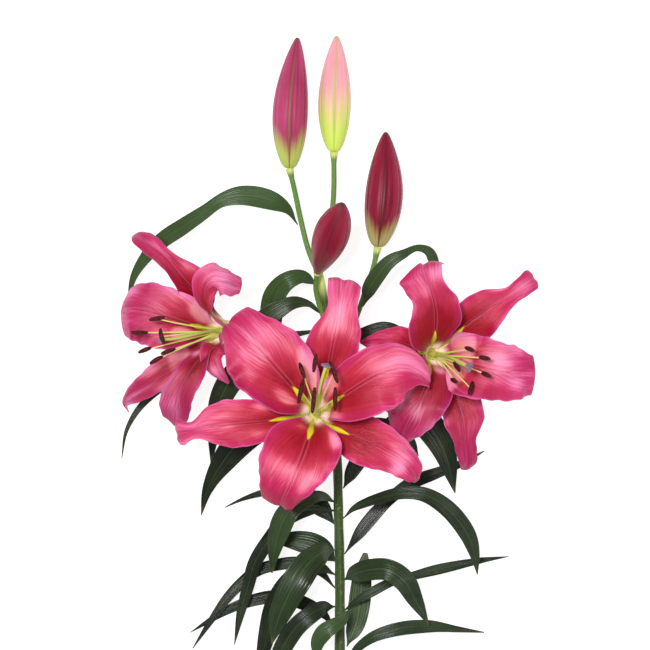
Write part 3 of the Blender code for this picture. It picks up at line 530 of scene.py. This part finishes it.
class Finish:
    """A material with short ways to wire its nodes. Its patterns follow the piece's own map."""

    def __init__(self, name):
        self.material = bpy.data.materials.new(name)
        self.material.use_nodes = True
        self.tree = self.material.node_tree
        self.shader = self.tree.nodes["Principled BSDF"]
        spot = self.add("ShaderNodeUVMap")
        spot.uv_map = "Blade"
        parts = self.add("ShaderNodeSeparateXYZ")
        self.wire(spot.outputs[0], parts.inputs[0])
        self.across, self.along = parts.outputs[0], parts.outputs[1]
        self.seed = self.attribute("seed")
        self.tone = self.attribute("tone")
        self.away = self.math("ABSOLUTE", self.math("MULTIPLY_ADD", self.across, 2.0, -1.0))
        place = self.add("ShaderNodeTexCoord")
        self.place = place.outputs["Object"]

    def add(self, kind):
        return self.tree.nodes.new(kind)

    def wire(self, source, target):
        if isinstance(source, bpy.types.NodeSocket):
            self.tree.links.new(source, target)
        else:
            target.default_value = source

    def attribute(self, name):
        node = self.add("ShaderNodeAttribute")
        node.attribute_name = name
        return node.outputs["Fac"]

    def math(self, operation, a, b=0.0, c=0.0, clamp=False):
        node = self.add("ShaderNodeMath")
        node.operation = operation
        node.use_clamp = clamp
        for value, target in zip((a, b, c), node.inputs):
            self.wire(value, target)
        return node.outputs[0]

    def times(self, a, b):
        return self.math("MULTIPLY", a, b)

    def vary(self, pattern, amount, value, clamp=False):
        """Adds a pattern to a value: nothing where the pattern is at its middle."""
        return self.math("MULTIPLY_ADD", self.math("SUBTRACT", pattern, 0.5), amount, value, clamp)

    def band(self, value, low, high, start=0.0, end=1.0):
        node = self.add("ShaderNodeMapRange")
        node.interpolation_type = "SMOOTHSTEP"
        for number, target in zip((value, low, high, start, end), node.inputs):
            self.wire(number, target)
        return node.outputs[0]

    def mix(self, share, a, b):
        node = self.add("ShaderNodeMix")
        node.data_type = "RGBA"
        self.wire(share, node.inputs[0])
        self.wire(a, node.inputs[6])
        self.wire(b, node.inputs[7])
        return node.outputs[2]

    def tint(self, color, share, amount, other):
        """Moves a colour towards another one by an amount of a share."""
        return self.mix(self.times(share, amount), color, other)

    def lit(self, color, strength):
        """The little light that comes through or off the surface."""
        self.wire(color, self.shader.inputs["Emission Color"])
        self.shader.inputs["Emission Strength"].default_value = strength

    def spread(self, across, along):
        node = self.add("ShaderNodeCombineXYZ")
        self.wire(across, node.inputs[0])
        self.wire(self.times(self.along, along), node.inputs[1])
        self.wire(self.times(self.seed, SEED_STEP), node.inputs[2])
        return node.outputs[0]

    def stretched(self, across, along):
        """The piece's map stretched by two factors, and moved by its seed so that no two match."""
        return self.spread(self.times(self.across, across), along)

    def slanted(self, across, along, slant):
        """Like stretched, with lines that leave the midrib on both sides and run on towards the margin."""
        side = self.math("GREATER_THAN", self.across, 0.5)
        line = self.math("MULTIPLY_ADD", self.along, -slant, self.away)
        return self.spread(self.math("MULTIPLY_ADD", side, SIDE_STEP, self.times(line, across)), along)

    def noise(self, vector, scale, detail=2.0):
        node = self.add("ShaderNodeTexNoise")
        self.wire(vector, node.inputs["Vector"])
        self.wire(scale, node.inputs["Scale"])
        self.wire(detail, node.inputs["Detail"])
        return node.outputs["Fac"]

    def cells(self, vector, scale):
        node = self.add("ShaderNodeTexVoronoi")
        self.wire(vector, node.inputs["Vector"])
        self.wire(scale, node.inputs["Scale"])
        return node.outputs["Distance"]

    def bump(self, height, distance, strength=1.0, below=None):
        node = self.add("ShaderNodeBump")
        self.wire(strength, node.inputs["Strength"])
        self.wire(distance, node.inputs["Distance"])
        self.wire(height, node.inputs["Height"])
        if below:
            self.wire(below, node.inputs["Normal"])
        return node.outputs[0]

    def close(self, color, roughness, normal, sheen=0.0, coat=0.0, specular=0.5, shine=WHITE):
        """Wires the colour, roughness and bump, and sets the constants on the shader itself."""
        self.wire(color, self.shader.inputs["Base Color"])
        self.wire(roughness, self.shader.inputs["Roughness"])
        if normal:
            self.wire(normal, self.shader.inputs["Normal"])
        self.shader.inputs["Sheen Weight"].default_value = sheen
        self.shader.inputs["Sheen Roughness"].default_value = 0.45
        self.shader.inputs["Coat Weight"].default_value = coat
        self.shader.inputs["Coat Roughness"].default_value = 0.35
        self.shader.inputs["Specular IOR Level"].default_value = specular
        self.shader.inputs["Specular Tint"].default_value = shine
        return self.material


def petal_face():
    """The inner face of a petal: crimson by the midrib, pink outwards with a painted highlight on the limb,
    and a pale throat.
    """
    f = Finish("petal_face")
    streak = f.noise(f.slanted(26, 3.0, FACE_SLANT), 1.0, 5.0)
    fine_streak = f.noise(f.slanted(80, 9.0, FACE_SLANT), 1.0, 3.0)
    cloud = f.noise(f.stretched(2.6, 2.2), 1.0, 2.0)
    # Patches of painted highlight and painted shade, set per petal.
    painted_light = f.attribute("painted_light")
    # How pale each spot is: more outwards, along the streaks, in a painted highlight on the limb and in the
    # painted patches.
    outward = f.math("MAXIMUM", f.band(f.away, 0.05, 0.60), f.band(f.along, 0.45, 0.65))
    satin_highlight = f.times(f.band(f.along, 0.36, 0.60), f.band(f.along, 0.98, 0.78, 0.8, 1.0))
    satin_highlight = f.math("MAXIMUM", satin_highlight, f.band(painted_light, 0.0, 0.3))
    pale = f.math("MULTIPLY_ADD", outward, 0.24, f.math("MULTIPLY_ADD", satin_highlight, 0.38, -0.62))
    pale = f.math("ADD", f.math("ADD", pale, f.tone), painted_light)
    pale = f.vary(streak, 0.42, pale)
    pale = f.vary(cloud, 1.0, pale)
    pale = f.vary(fine_streak, 0.36, pale, clamp=True)
    # The reds turn cooler towards the tip and the edges.
    cool = f.math("MAXIMUM", f.band(f.along, 0.40, 0.92), f.band(f.away, 0.55, 1.0))
    deep = f.mix(cool, paint(150, 4, 24), paint(162, 6, 62))
    middle = f.mix(cool, paint(218, 60, 88), paint(226, 62, 128))
    high = f.mix(cool, paint(255, 158, 166), paint(255, 158, 204))
    color = f.mix(pale, deep, middle)
    # Painted highlight: the palest spots of the limb turn towards a light pink.
    painted_highlight = f.times(f.band(pale, 0.40, 0.95), satin_highlight)
    color = f.tint(color, painted_highlight, 0.85, high)
    # A dark line down the midrib, with a painted highlight beside it where the petal is creased, and
    # painted shade in soft folds on each side of it.
    rib = f.times(f.band(f.away, 0.04, 0.0), f.band(f.along, 0.93, 0.40, 0.0, 1.0))
    color = f.tint(color, rib, 0.6, paint(92, 2, 24))
    crease_highlight = f.times(f.band(f.away, 0.10, 0.04), f.band(f.away, 0.02, 0.05))
    color = f.tint(color, crease_highlight, 0.14, paint(255, 150, 176))
    fold_shade = f.times(f.band(f.away, 0.21, 0.15), f.band(f.away, 0.09, 0.14))
    fold_shade = f.times(fold_shade, f.band(f.along, 0.30, 0.5))
    color = f.tint(color, fold_shade, 0.28, paint(150, 6, 44))
    # Painted shade: petals that lie low or turn away are multiplied to a duller, cooler red.
    shaded = f.add("ShaderNodeVectorMath")
    shaded.operation = "MULTIPLY"
    f.wire(color, shaded.inputs[0])
    shaded.inputs[1].default_value = SHADE_FILTER
    color = f.mix(f.attribute("painted_shade"), color, shaded.outputs[0])
    # The throat is cream with a frayed edge, and a lime nectar streak runs out of it.
    throat_edge = f.math("MULTIPLY_ADD", streak, 0.07, 0.125)
    throat = f.band(f.along, f.math("ADD", throat_edge, 0.07), f.math("SUBTRACT", throat_edge, 0.05))
    cream = f.mix(f.band(f.away, 0.12, 0.42), paint(208, 208, 84), paint(255, 224, 216))
    color = f.mix(throat, color, cream)
    reach = f.times(f.band(f.along, 0.02, 0.14), f.band(f.along, 0.38, 0.25))
    nectar = f.band(f.away, f.times(reach, 0.19), f.times(reach, 0.08))
    nectar = f.times(nectar, f.band(reach, 0.04, 0.3))
    lime = f.mix(f.band(f.along, 0.28, 0.16), paint(214, 212, 36), paint(176, 186, 48))
    color = f.mix(nectar, color, lime)
    margin = f.band(f.away, 0.93, 0.99)
    color = f.tint(color, margin, 0.3, paint(216, 120, 184))
    # Small dark bumps cover the lower half.
    papillae = f.times(f.band(f.cells(f.stretched(44, 76), 1.0), 0.30, 0.05),
                       f.times(f.band(f.along, 0.66, 0.42), f.band(f.away, 0.75, 0.3)))
    color = f.tint(color, papillae, 0.30, paint(120, 4, 32))
    ridges = f.bump(f.noise(f.slanted(50, 5.0, FACE_SLANT), 1.0, 3.0), 0.0008, 0.45)
    dots = f.bump(papillae, 0.0005, 0.6, ridges)
    roughness = f.math("MULTIPLY_ADD", fine_streak, 0.16, 0.33)
    # Painted light: the throat gets emission in its own colour, as if light came through the thin petal.
    f.lit(f.mix(throat, BLACK, color), 0.28)
    return f.close(color, roughness, dots, sheen=0.03, specular=0.40, shine=(1.0, 0.60, 0.74, 1))


def petal_back():
    """The outer face of a petal: dusty pink with a pale green midrib that fades towards the tip."""
    f = Finish("petal_back")
    streak = f.noise(f.slanted(24, 3.0, BACK_SLANT), 1.0, 5.0)
    cloud = f.noise(f.stretched(2.6, 2.2), 1.0, 2.0)
    pale = f.vary(streak, 0.8, f.math("SUBTRACT", f.tone, 0.1))
    pale = f.vary(cloud, 1.0, pale, clamp=True)
    color = f.mix(pale, paint(164, 20, 70), paint(228, 104, 150))
    rib = f.times(f.band(f.away, 0.14, 0.02), f.band(f.along, 0.85, 0.35))
    color = f.mix(rib, color, paint(176, 182, 104))
    color = f.mix(f.band(f.along, 0.20, 0.06), color, paint(206, 206, 130))
    ridges = f.bump(f.noise(f.slanted(50, 5.0, BACK_SLANT), 1.0, 3.0), 0.0008, 0.45)
    return f.close(color, f.math("MULTIPLY_ADD", streak, 0.16, 0.36), ridges, sheen=0.04, specular=0.4,
                   shine=(1.0, 0.66, 0.80, 1))


def leaf_finish(name, dark, pale, vein, roughness):
    """A leaf face with parallel veins, a midrib and a waxy sheen; its paler share is partly its own lighter
    green and partly a painted highlight.
    """
    f = Finish(name)
    veins = f.math("SINE", f.times(f.across, TURN * 9))
    streak = f.noise(f.stretched(40, 1.6), 1.0, 3.0)
    cloud = f.noise(f.place, 34.0, 3.0)
    share = f.vary(streak, 0.7, f.tone)
    share = f.vary(cloud, 0.7, share, clamp=True)
    color = f.mix(share, dark, pale)
    lines = f.band(veins, 0.45, 0.98)
    color = f.tint(color, lines, 0.09, vein)
    rib = f.band(f.away, 0.08, 0.0)
    color = f.tint(color, rib, 0.28, vein)
    color = f.tint(color, f.band(f.along, 0.93, 1.0), 0.5, paint(112, 96, 52))
    color = f.tint(color, f.band(f.along, 0.07, 0.0), 0.35, paint(84, 108, 52))
    height = f.math("MULTIPLY_ADD", veins, 0.22, f.times(streak, 0.6))
    normal = f.bump(height, 0.0008, 0.42)
    rough = f.vary(cloud, 0.3, roughness)
    return f.close(color, rough, normal, specular=0.34)


def stem_finish():
    """A ridged green skin, darker down the main stem and brighter on the flower stalks."""
    f = Finish("stem_skin")
    grain = f.noise(f.stretched(22, 5), 1.0, 4.0)
    specks = f.noise(f.place, 420.0, 2.0)
    share = f.vary(grain, 0.5, f.tone, clamp=True)
    color = f.mix(share, paint(40, 56, 18), paint(104, 148, 60))
    color = f.tint(color, f.band(specks, 0.60, 0.72), 0.35, paint(150, 168, 96))
    # Painted light: the end of each stem piece, where a flower or bud sits, is pale green and gets
    # emission, as if lit inside the throat.
    top = f.band(f.along, 0.93, 0.98)
    color = f.mix(top, color, paint(186, 196, 104))
    f.lit(f.mix(top, BLACK, paint(186, 196, 104)), 0.18)
    ridges = f.math("SINE", f.times(f.across, TURN * 11))
    height = f.math("MULTIPLY_ADD", ridges, 0.3, grain)
    roughness = f.math("MULTIPLY_ADD", grain, 0.2, 0.36)
    return f.close(color, roughness, f.bump(height, 0.0006, 0.6), specular=0.32)


def bud_finish(name, skin, light, base, rib_color, tip, base_reach):
    """A bud's skin: streaked along its length, green at its base, with an olive midrib on each petal."""
    f = Finish(name)
    turn = f.math("FRACT", f.times(f.across, 3.0))
    from_rib = f.math("ABSOLUTE", f.math("MULTIPLY_ADD", turn, 2.0, -1.0))
    streak = f.noise(f.stretched(34, 1.3), 1.0, 4.0)
    cloud = f.noise(f.place, 38.0, 2.0)
    share = f.vary(streak, 1.2, 0.35)
    share = f.vary(cloud, 0.7, share)
    share = f.math("MULTIPLY_ADD", f.band(from_rib, 0.1, 0.7), 0.35, share, clamp=True)
    color = f.mix(share, skin, light)
    low = f.vary(streak, 0.22, f.along)
    low = f.math("MULTIPLY_ADD", from_rib, -0.16, f.math("ADD", low, 0.05))
    color = f.mix(f.band(low, base_reach, base_reach * 0.15), color, base)
    rib = f.times(f.band(from_rib, 0.13, 0.02), f.band(f.along, 1.0, 0.7, 0.6, 1.0))
    color = f.tint(color, rib, 0.75, rib_color)
    seam = f.band(from_rib, 0.965, 1.0)
    color = f.tint(color, seam, 0.5, skin)
    color = f.mix(f.band(f.along, 0.955, 1.0), color, tip)
    ridges = f.bump(f.noise(f.stretched(80, 1.2), 1.0, 3.0), 0.0009, 0.5)
    return f.close(color, f.math("MULTIPLY_ADD", streak, 0.15, 0.36), ridges, sheen=0.03, specular=0.34,
                   shine=(1.0, 0.72, 0.80, 1))


def anther_finish():
    """Powdery rust-brown pollen over a maroon sac."""
    f = Finish("anther_pollen")
    grains = f.noise(f.place, 2600.0, 3.0)
    patch = f.noise(f.place, 420.0, 2.0)
    color = f.mix(f.band(patch, 0.35, 0.7), paint(52, 10, 12), paint(88, 26, 24))
    color = f.tint(color, f.band(grains, 0.52, 0.72), 0.22, paint(140, 66, 50))
    return f.close(color, 0.7, f.bump(grains, 0.0005, 0.8), specular=0.22)


def filament_finish():
    """Pale green, a little warmer towards the anther."""
    f = Finish("filament_skin")
    grain = f.noise(f.place, 300.0, 2.0)
    color = f.mix(f.band(f.along, 0.55, 1.0), paint(206, 218, 112), paint(222, 204, 132))
    color = f.tint(color, grain, 0.3, paint(206, 196, 110))
    # Painted light: emission in the filament's own colour, as if light came through it.
    f.lit(color, 0.14)
    return f.close(color, 0.38, f.bump(grain, 0.0003, 0.4), specular=0.4)


def pistil_finish():
    """Olive at the ovary, pale green up the style."""
    f = Finish("pistil_skin")
    grain = f.noise(f.place, 260.0, 2.0)
    color = f.mix(f.band(f.along, 0.12, 0.3), paint(168, 172, 60), paint(186, 192, 96))
    color = f.tint(color, grain, 0.35, paint(146, 156, 78))
    # Painted light: emission in the pistil's own colour, as if light came through it.
    f.lit(color, 0.10)
    return f.close(color, 0.4, f.bump(grain, 0.0004, 0.4), specular=0.4)


def stigma_finish():
    """The sticky grey-violet head of the pistil."""
    f = Finish("stigma_skin")
    bumps = f.cells(f.place, 1500.0)
    color = f.mix(f.band(bumps, 0.1, 0.5), paint(166, 146, 170), paint(112, 88, 106))
    return f.close(color, 0.42, f.bump(bumps, 0.0004, 0.7), coat=0.25)


def floor_finish():
    """Pale matte table."""
    f = Finish("table_top")
    grain = f.noise(f.place, 60.0, 2.0)
    color = f.mix(f.times(grain, 0.4), (0.40, 0.40, 0.40, 1), (0.37, 0.37, 0.37, 1))
    f.lit(WHITE, 0.84)
    return f.close(color, 0.8, None, specular=0.1)


# The lily

PETAL_FINISHES = [petal_face(), petal_back()]
LEAF_FINISHES = [
    leaf_finish("leaf_face", paint(14, 20, 10), paint(62, 88, 46), paint(84, 106, 62), 0.34),
    leaf_finish("leaf_back", paint(52, 66, 40), paint(96, 122, 66), paint(118, 138, 88), 0.55),
]
STEM_FINISH = stem_finish()
BUD_FINISHES = {
    "first_bud": bud_finish("bud_rose", paint(128, 18, 58), paint(188, 70, 114), paint(178, 192, 92),
                            paint(120, 84, 52), paint(96, 88, 52), 0.26),
    "second_bud": bud_finish("bud_pale", paint(228, 134, 154), paint(244, 182, 184), paint(200, 224, 96),
                             paint(160, 190, 66), paint(176, 186, 84), 0.60),
    "third_bud": bud_finish("bud_crimson", paint(94, 2, 24), paint(148, 18, 52), paint(140, 112, 60),
                            paint(84, 20, 26), paint(70, 46, 34), 0.14),
    "fourth_bud": bud_finish("bud_wine", paint(100, 2, 28), paint(150, 20, 58), paint(170, 160, 96),
                             paint(86, 20, 28), paint(70, 50, 34), 0.22),
}
ANTHER_FINISH = anther_finish()
FILAMENT_FINISH = filament_finish()
PISTIL_FINISH = pistil_finish()
STIGMA_FINISH = stigma_finish()


def make_petal(node, flower, turn, trumpet, neck, seed):
    """One petal or sepal: wrapped round the trumpet, then spread, waved at its edges and rolled back."""
    limb, wide, narrow, roll, tone, painted_shade, patches = PETALS[node]
    wide, narrow = (neck,) + wide, (neck,) + narrow
    axis = Vector(flower["axis"]).normalized()
    receptacle = Vector(flower["receptacle"])
    across_axis = (Vector((1, 0, 0)) - axis * axis.x).normalized()
    outward = Matrix.Rotation(math.radians(turn), 3, axis) @ across_axis
    around = axis.cross(outward)
    start = [receptacle + axis * height + outward * radius for height, radius in trumpet]
    route = smooth_route(start + [Vector(p) for p in limb], PETAL_ROWS)

    def across(row, ahead):
        side = (around - ahead * around.dot(ahead)).normalized()
        level = UP.cross(route[row] - route[row * 3 // 5]).normalized() if row else side
        side = side.lerp(level, ease(0.30, 0.62, row / PETAL_ROWS)).normalized()
        side = (side - ahead * side.dot(ahead)).normalized()
        lean = math.radians(roll) * ease(0.2, 0.5, row / PETAL_ROWS)
        return Matrix.Rotation(lean, 3, ahead) @ side

    def shape_at(t, v, row):
        from_axis = route[row] - receptacle
        radius = max((from_axis - axis * from_axis.dot(axis)).length, 1.0)
        width = max(between(wide if v > 0 else narrow, t), 0.4)
        opening = ease(0.16, 0.36, t)
        wrapped = min(width, WRAP_LIMIT * radius)
        width = wrapped + (width - wrapped) * opening
        wrap = min(WRAP_LIMIT, width / radius)
        spread = PETAL_CUP + (TIP_CUP - PETAL_CUP) * ease(0.45, 0.95, t)
        aside, rise = arch(width, wrap + (spread - wrap) * opening, v)
        phase = seed * 2.1 + (0.0 if v > 0 else 1.9)
        ripple = math.sin(TURN * EDGE_WAVES * t + phase)
        ripple += 0.4 * math.sin(TURN * FINE_EDGE_WAVES * t + 2 * phase)
        rise += EDGE_RIPPLE * width * ripple * abs(v) ** 2.4 * ease(0.34, 0.55, t) * ease(1.0, 0.9, t)
        aside *= 1 + EDGE_WAVER * math.sin(TURN * WAVERS * t + 3 * phase) * ease(0.4, 0.6, t)
        groove = math.exp(-(v / GROOVE_WIDTH) ** 2) + 0.5 * math.exp(-(v / GUTTER_WIDTH) ** 2)
        rise -= GROOVE_DEPTH * groove * ease(0.16, 0.34, t) * ease(1.0, 0.5, t)
        rise -= TIP_DIP * math.exp(-(v / TIP_DIP_WIDTH) ** 2) * ease(0.66, 0.84, t) * ease(1.0, 0.93, t)
        return aside, rise

    blade(node, route, across, shape_at, PETAL_THICKNESS, PETAL_COLUMNS, PETAL_FINISHES,
          seed, tone, painted_shade, patches)


def make_leaf(node, leaf, seed):
    """A lance-shaped leaf, channelled along its midrib."""
    points, widths, tone = leaf
    first, second = Vector(points[0]), Vector(points[1])
    foot = first + (first - second).normalized() * LEAF_FOOT
    route = smooth_route([foot] + points, LEAF_ROWS)
    widths = (LEAF_NECK,) + widths

    def across(row, ahead):
        return UP.cross(ahead).normalized()

    def shape_at(t, v, row):
        width = max(between(widths, t) * ease(-0.06, 0.16, t), 0.25)
        aside, rise = arch(width, LEAF_CUP, v)
        ripple = math.sin(TURN * LEAF_WAVES * t + seed * 1.7 + (0.0 if v > 0 else 2.0))
        rise += LEAF_RIPPLE * width * ripple * abs(v) ** 2 * ease(0.15, 0.4, t)
        rise -= LEAF_FOLD * width * math.exp(-(v / 0.1) ** 2)
        rise += LEAF_RIB * width * math.cos(TURN * LEAF_RIBS * v) * ease(0.05, 0.2, t)
        return aside, rise

    blade(node, route, across, shape_at, LEAF_THICKNESS, LEAF_COLUMNS, LEAF_FINISHES, seed, tone)


def make_bud(node, bud, seed):
    """A closed bud: three broad faces, each with a raised midrib, and a sunk seam between them."""
    points, radius, belly_place = bud
    route = smooth_route(points, BUD_RINGS)

    def radius_at(t, angle):
        body = BUD_BASE_RADIUS * (1 - t) + BUD_TIP_RADIUS * t
        body += (radius - BUD_END_RADIUS) * math.sin(math.pi * t ** belly_place) ** 0.74
        turn = (3 * angle / TURN) % 1.0
        from_rib = abs(2 * turn - 1)
        relief = ease(0.02, 0.2, t) * ease(1.0, 0.75, t)
        rib = BUD_RIB * math.exp(-(from_rib / 0.06) ** 2)
        rib -= BUD_HOLLOW * math.exp(-((from_rib - 0.16) / 0.08) ** 2)
        seam = -BUD_SEAM * math.exp(-((1 - from_rib) / 0.035) ** 2)
        belly = BUD_BELLY * math.cos(math.pi * from_rib)
        return max(body * (1 + relief * (rib + seam + belly)), 0.3)

    ahead = direction_at(route, 0)
    front = (UP - ahead * UP.dot(ahead)).normalized()
    start = Matrix.Rotation(-math.pi / 3, 3, ahead) @ front
    tube(node, route, radius_at, BUD_SIDES, BUD_FINISHES[node], node, seed, 0.5, start)


def make_stem():
    """The main stem and its stalks, each swelling a little where leaves and stalks leave it."""
    route = smooth_route(STEM_ROUTE, 170)

    def main_radius(t, angle):
        plain = STEM_BASE_RADIUS + (STEM_TOP_RADIUS - STEM_BASE_RADIUS) * t
        knuckle = 0.12 * math.sin(TURN * STEM_KNUCKLES * t) + 0.05 * math.sin(STEM_RIDGES * angle)
        close = ease(1.0, 0.985, t) * 0.4 + 0.6
        return (plain + knuckle) * close

    tube("main_stem", route, main_radius, 36, STEM_FINISH, "stem", 1.0, 0.12)
    for count, (name, points) in enumerate(STALKS.items()):
        flower = FLOWERS.get(name.split("_")[0]) if name.endswith("flower") else None
        points = list(points)
        if flower:
            axis = Vector(flower["axis"]).normalized()
            end = Vector(flower["receptacle"])
            points[-1] = end - axis * RECEPTACLE_LENGTH
            points += [end - axis * RECEPTACLE_LENGTH / 2, end]
        stalk = smooth_route(points, 56)
        head = RECEPTACLE_RADIUS if flower else BUD_SEAT_RADIUS
        swell = 0.14 if flower else 0.07

        def stalk_radius(t, angle, head=head, swell=swell):
            plain = STALK_RADIUS * (1.12 - 0.12 * t) + 0.05 * math.sin(STALK_RIDGES * angle)
            return plain + (head - STALK_RADIUS) * ease(1 - swell * 1.6, 1.0, t) ** 1.4

        tube(name + "_stalk", stalk, stalk_radius, 24, STEM_FINISH, "stem", 2.0 + count, 0.72)


def make_stamens(node, flower, seed):
    """Six filaments on one ring, each with its own anther set across its tip."""
    axis = Vector(flower["axis"]).normalized()
    receptacle = Vector(flower["receptacle"])
    foot = receptacle + axis * 0.5
    ring = smooth_route([foot, foot + axis * 1.6], 4)
    tube(node + "_ring", ring, lambda t, angle: 3.2 + 0.3 * math.cos(6 * angle), 36, FILAMENT_FINISH,
         node, seed)
    throat = receptacle + axis * THROAT_HEIGHT
    for count, (middle, length) in enumerate(flower["stamens"]):
        middle, length = Vector(middle), Vector(length)
        lean = middle - throat
        outward = (lean - axis * lean.dot(axis)).normalized()
        begin = foot + axis * 0.9 + outward * 3.3
        waist = throat + outward * 4.2
        arching = waist.lerp(middle, 0.55) + axis * 3
        route = smooth_route([begin, begin.lerp(waist, 0.5), waist, arching, middle], 48)
        tube(f"{node}_filament_{count + 1}", route, lambda t, angle: FILAMENT_RADIUS - FILAMENT_TAPER * t,
             12, FILAMENT_FINISH, node, seed + count)
        bent = middle + axis * 1.2
        sac = smooth_route([middle - length / 2, bent - length / 5,
                            bent + length / 5, middle + length / 2], 30)

        def sac_radius(t, angle):
            body = ANTHER_RADIUS * math.sin(math.pi * (0.06 + 0.88 * t)) ** 0.45
            split = ANTHER_SPLIT * math.exp(-((math.cos(angle) - 1) / 0.06) ** 2)
            return body * (1 - split + 0.06 * math.cos(2 * angle))

        tube(f"{node}_anther_{count + 1}", sac, sac_radius, 24, ANTHER_FINISH, node, seed + count)


def make_pistil(node, flower, seed):
    """Ovary and style in one piece, with a three-lobed stigma on top."""
    axis = Vector(flower["axis"]).normalized()
    foot = Vector(flower["receptacle"]) + axis * 0.6
    style = [Vector(p) for p in flower["style"]]
    route = smooth_route([foot, foot + axis * 8, foot + axis * 16] + style, 72)
    whole = sum((b - a).length for a, b in zip(route, route[1:]))
    ovary = OVARY_LENGTH / whole

    def radius_at(t, angle):
        lobes = 1 + 0.10 * math.cos(3 * angle)
        swell = OVARY_SWELL * ease(ovary * 1.1, ovary * 0.85, t) * lobes
        return STYLE_RADIUS + swell + 0.5 * ease(0.93, 1.0, t)

    tube(node, route, radius_at, 24, PISTIL_FINISH, node, seed)
    tip, ahead = route[-1], direction_at(route, len(route) - 1)
    head = smooth_route([tip - ahead * 1.0, tip + ahead * 0.4, tip + ahead * 1.6], 14)

    def head_radius(t, angle):
        round_off = math.sin(math.pi * (0.10 + 0.84 * t)) ** 0.5
        return STIGMA_RADIUS * round_off * (1 + 0.20 * math.cos(3 * angle))

    tube(node + "_stigma", head, head_radius, 48, STIGMA_FINISH, node, seed)


def make_lily():
    """Every flower with its petals, stamens and pistil, then the buds, the leaves and the stem."""
    seed = 0
    kinds = (("_petal_", TRUMPET_PETALS, PETAL_NECK, 0), ("_sepal_", TRUMPET_SEPALS, SEPAL_NECK, 60))
    for place, flower in FLOWERS.items():
        for kind, trumpet, neck, offset in kinds:
            for i, node in enumerate(n for n in PETALS if n.startswith(place + kind)):
                seed += 1
                make_petal(node, flower, flower["turn"] + offset + 120 * i, trumpet, neck, seed)
        make_stamens(place + "_stamens", flower, seed)
        make_pistil(place + "_pistil", flower, seed)
    for i, (node, bud) in enumerate(BUDS.items()):
        make_bud(node, bud, i)
    for i, (node, leaf) in enumerate(LEAVES.items()):
        make_leaf(node, leaf, i)
    make_stem()


# The studio

def make_floor():
    mesh = bmesh.new()
    mesh.loops.layers.uv.new("Blade")
    bmesh.ops.create_grid(mesh, x_segments=1, y_segments=1, size=TABLE_SIZE)
    data = bpy.data.meshes.new("table")
    mesh.to_mesh(data)
    mesh.free()
    floor = bpy.data.objects.new("table", data)
    bpy.context.scene.collection.objects.link(floor)
    data.materials.append(floor_finish())


def add_soft_light(name, place, size, power):
    data = bpy.data.lights.new(name, "AREA")
    data.shape = "DISK"
    data.size = size
    data.energy = power
    lamp = bpy.data.objects.new(name, data)
    lamp.location = place
    lamp.rotation_euler = (Vector(LILY_MIDDLE) - Vector(place)).to_track_quat("-Z", "Y").to_euler()
    bpy.context.scene.collection.objects.link(lamp)


def make_studio():
    scene = bpy.context.scene
    world = bpy.data.worlds.new("studio")
    world.use_nodes = True
    sky = world.node_tree.nodes["Background"]
    sky.inputs["Color"].default_value = WHITE
    sky.inputs["Strength"].default_value = SKY_STRENGTH
    scene.world = world
    add_soft_light("key", (-0.35, 0.30, 2.1), 0.45, 40)
    add_soft_light("fill", (1.0, -1.1, 1.5), 0.9, 9)
    scene.view_settings.view_transform = "Standard"
    scene.view_settings.look = "None"


def make_camera():
    """Looks straight down on the lily from far off, as flat as a long lens sees it."""
    data = bpy.data.cameras.new("overhead")
    data.lens = LENS
    data.sensor_width = SENSOR_WIDTH
    data.clip_end = 50.0
    camera = bpy.data.objects.new("overhead", data)
    camera.location = CAMERA_PLACE
    bpy.context.scene.collection.objects.link(camera)
    bpy.context.scene.camera = camera


make_lily()
make_floor()
make_studio()
make_camera()
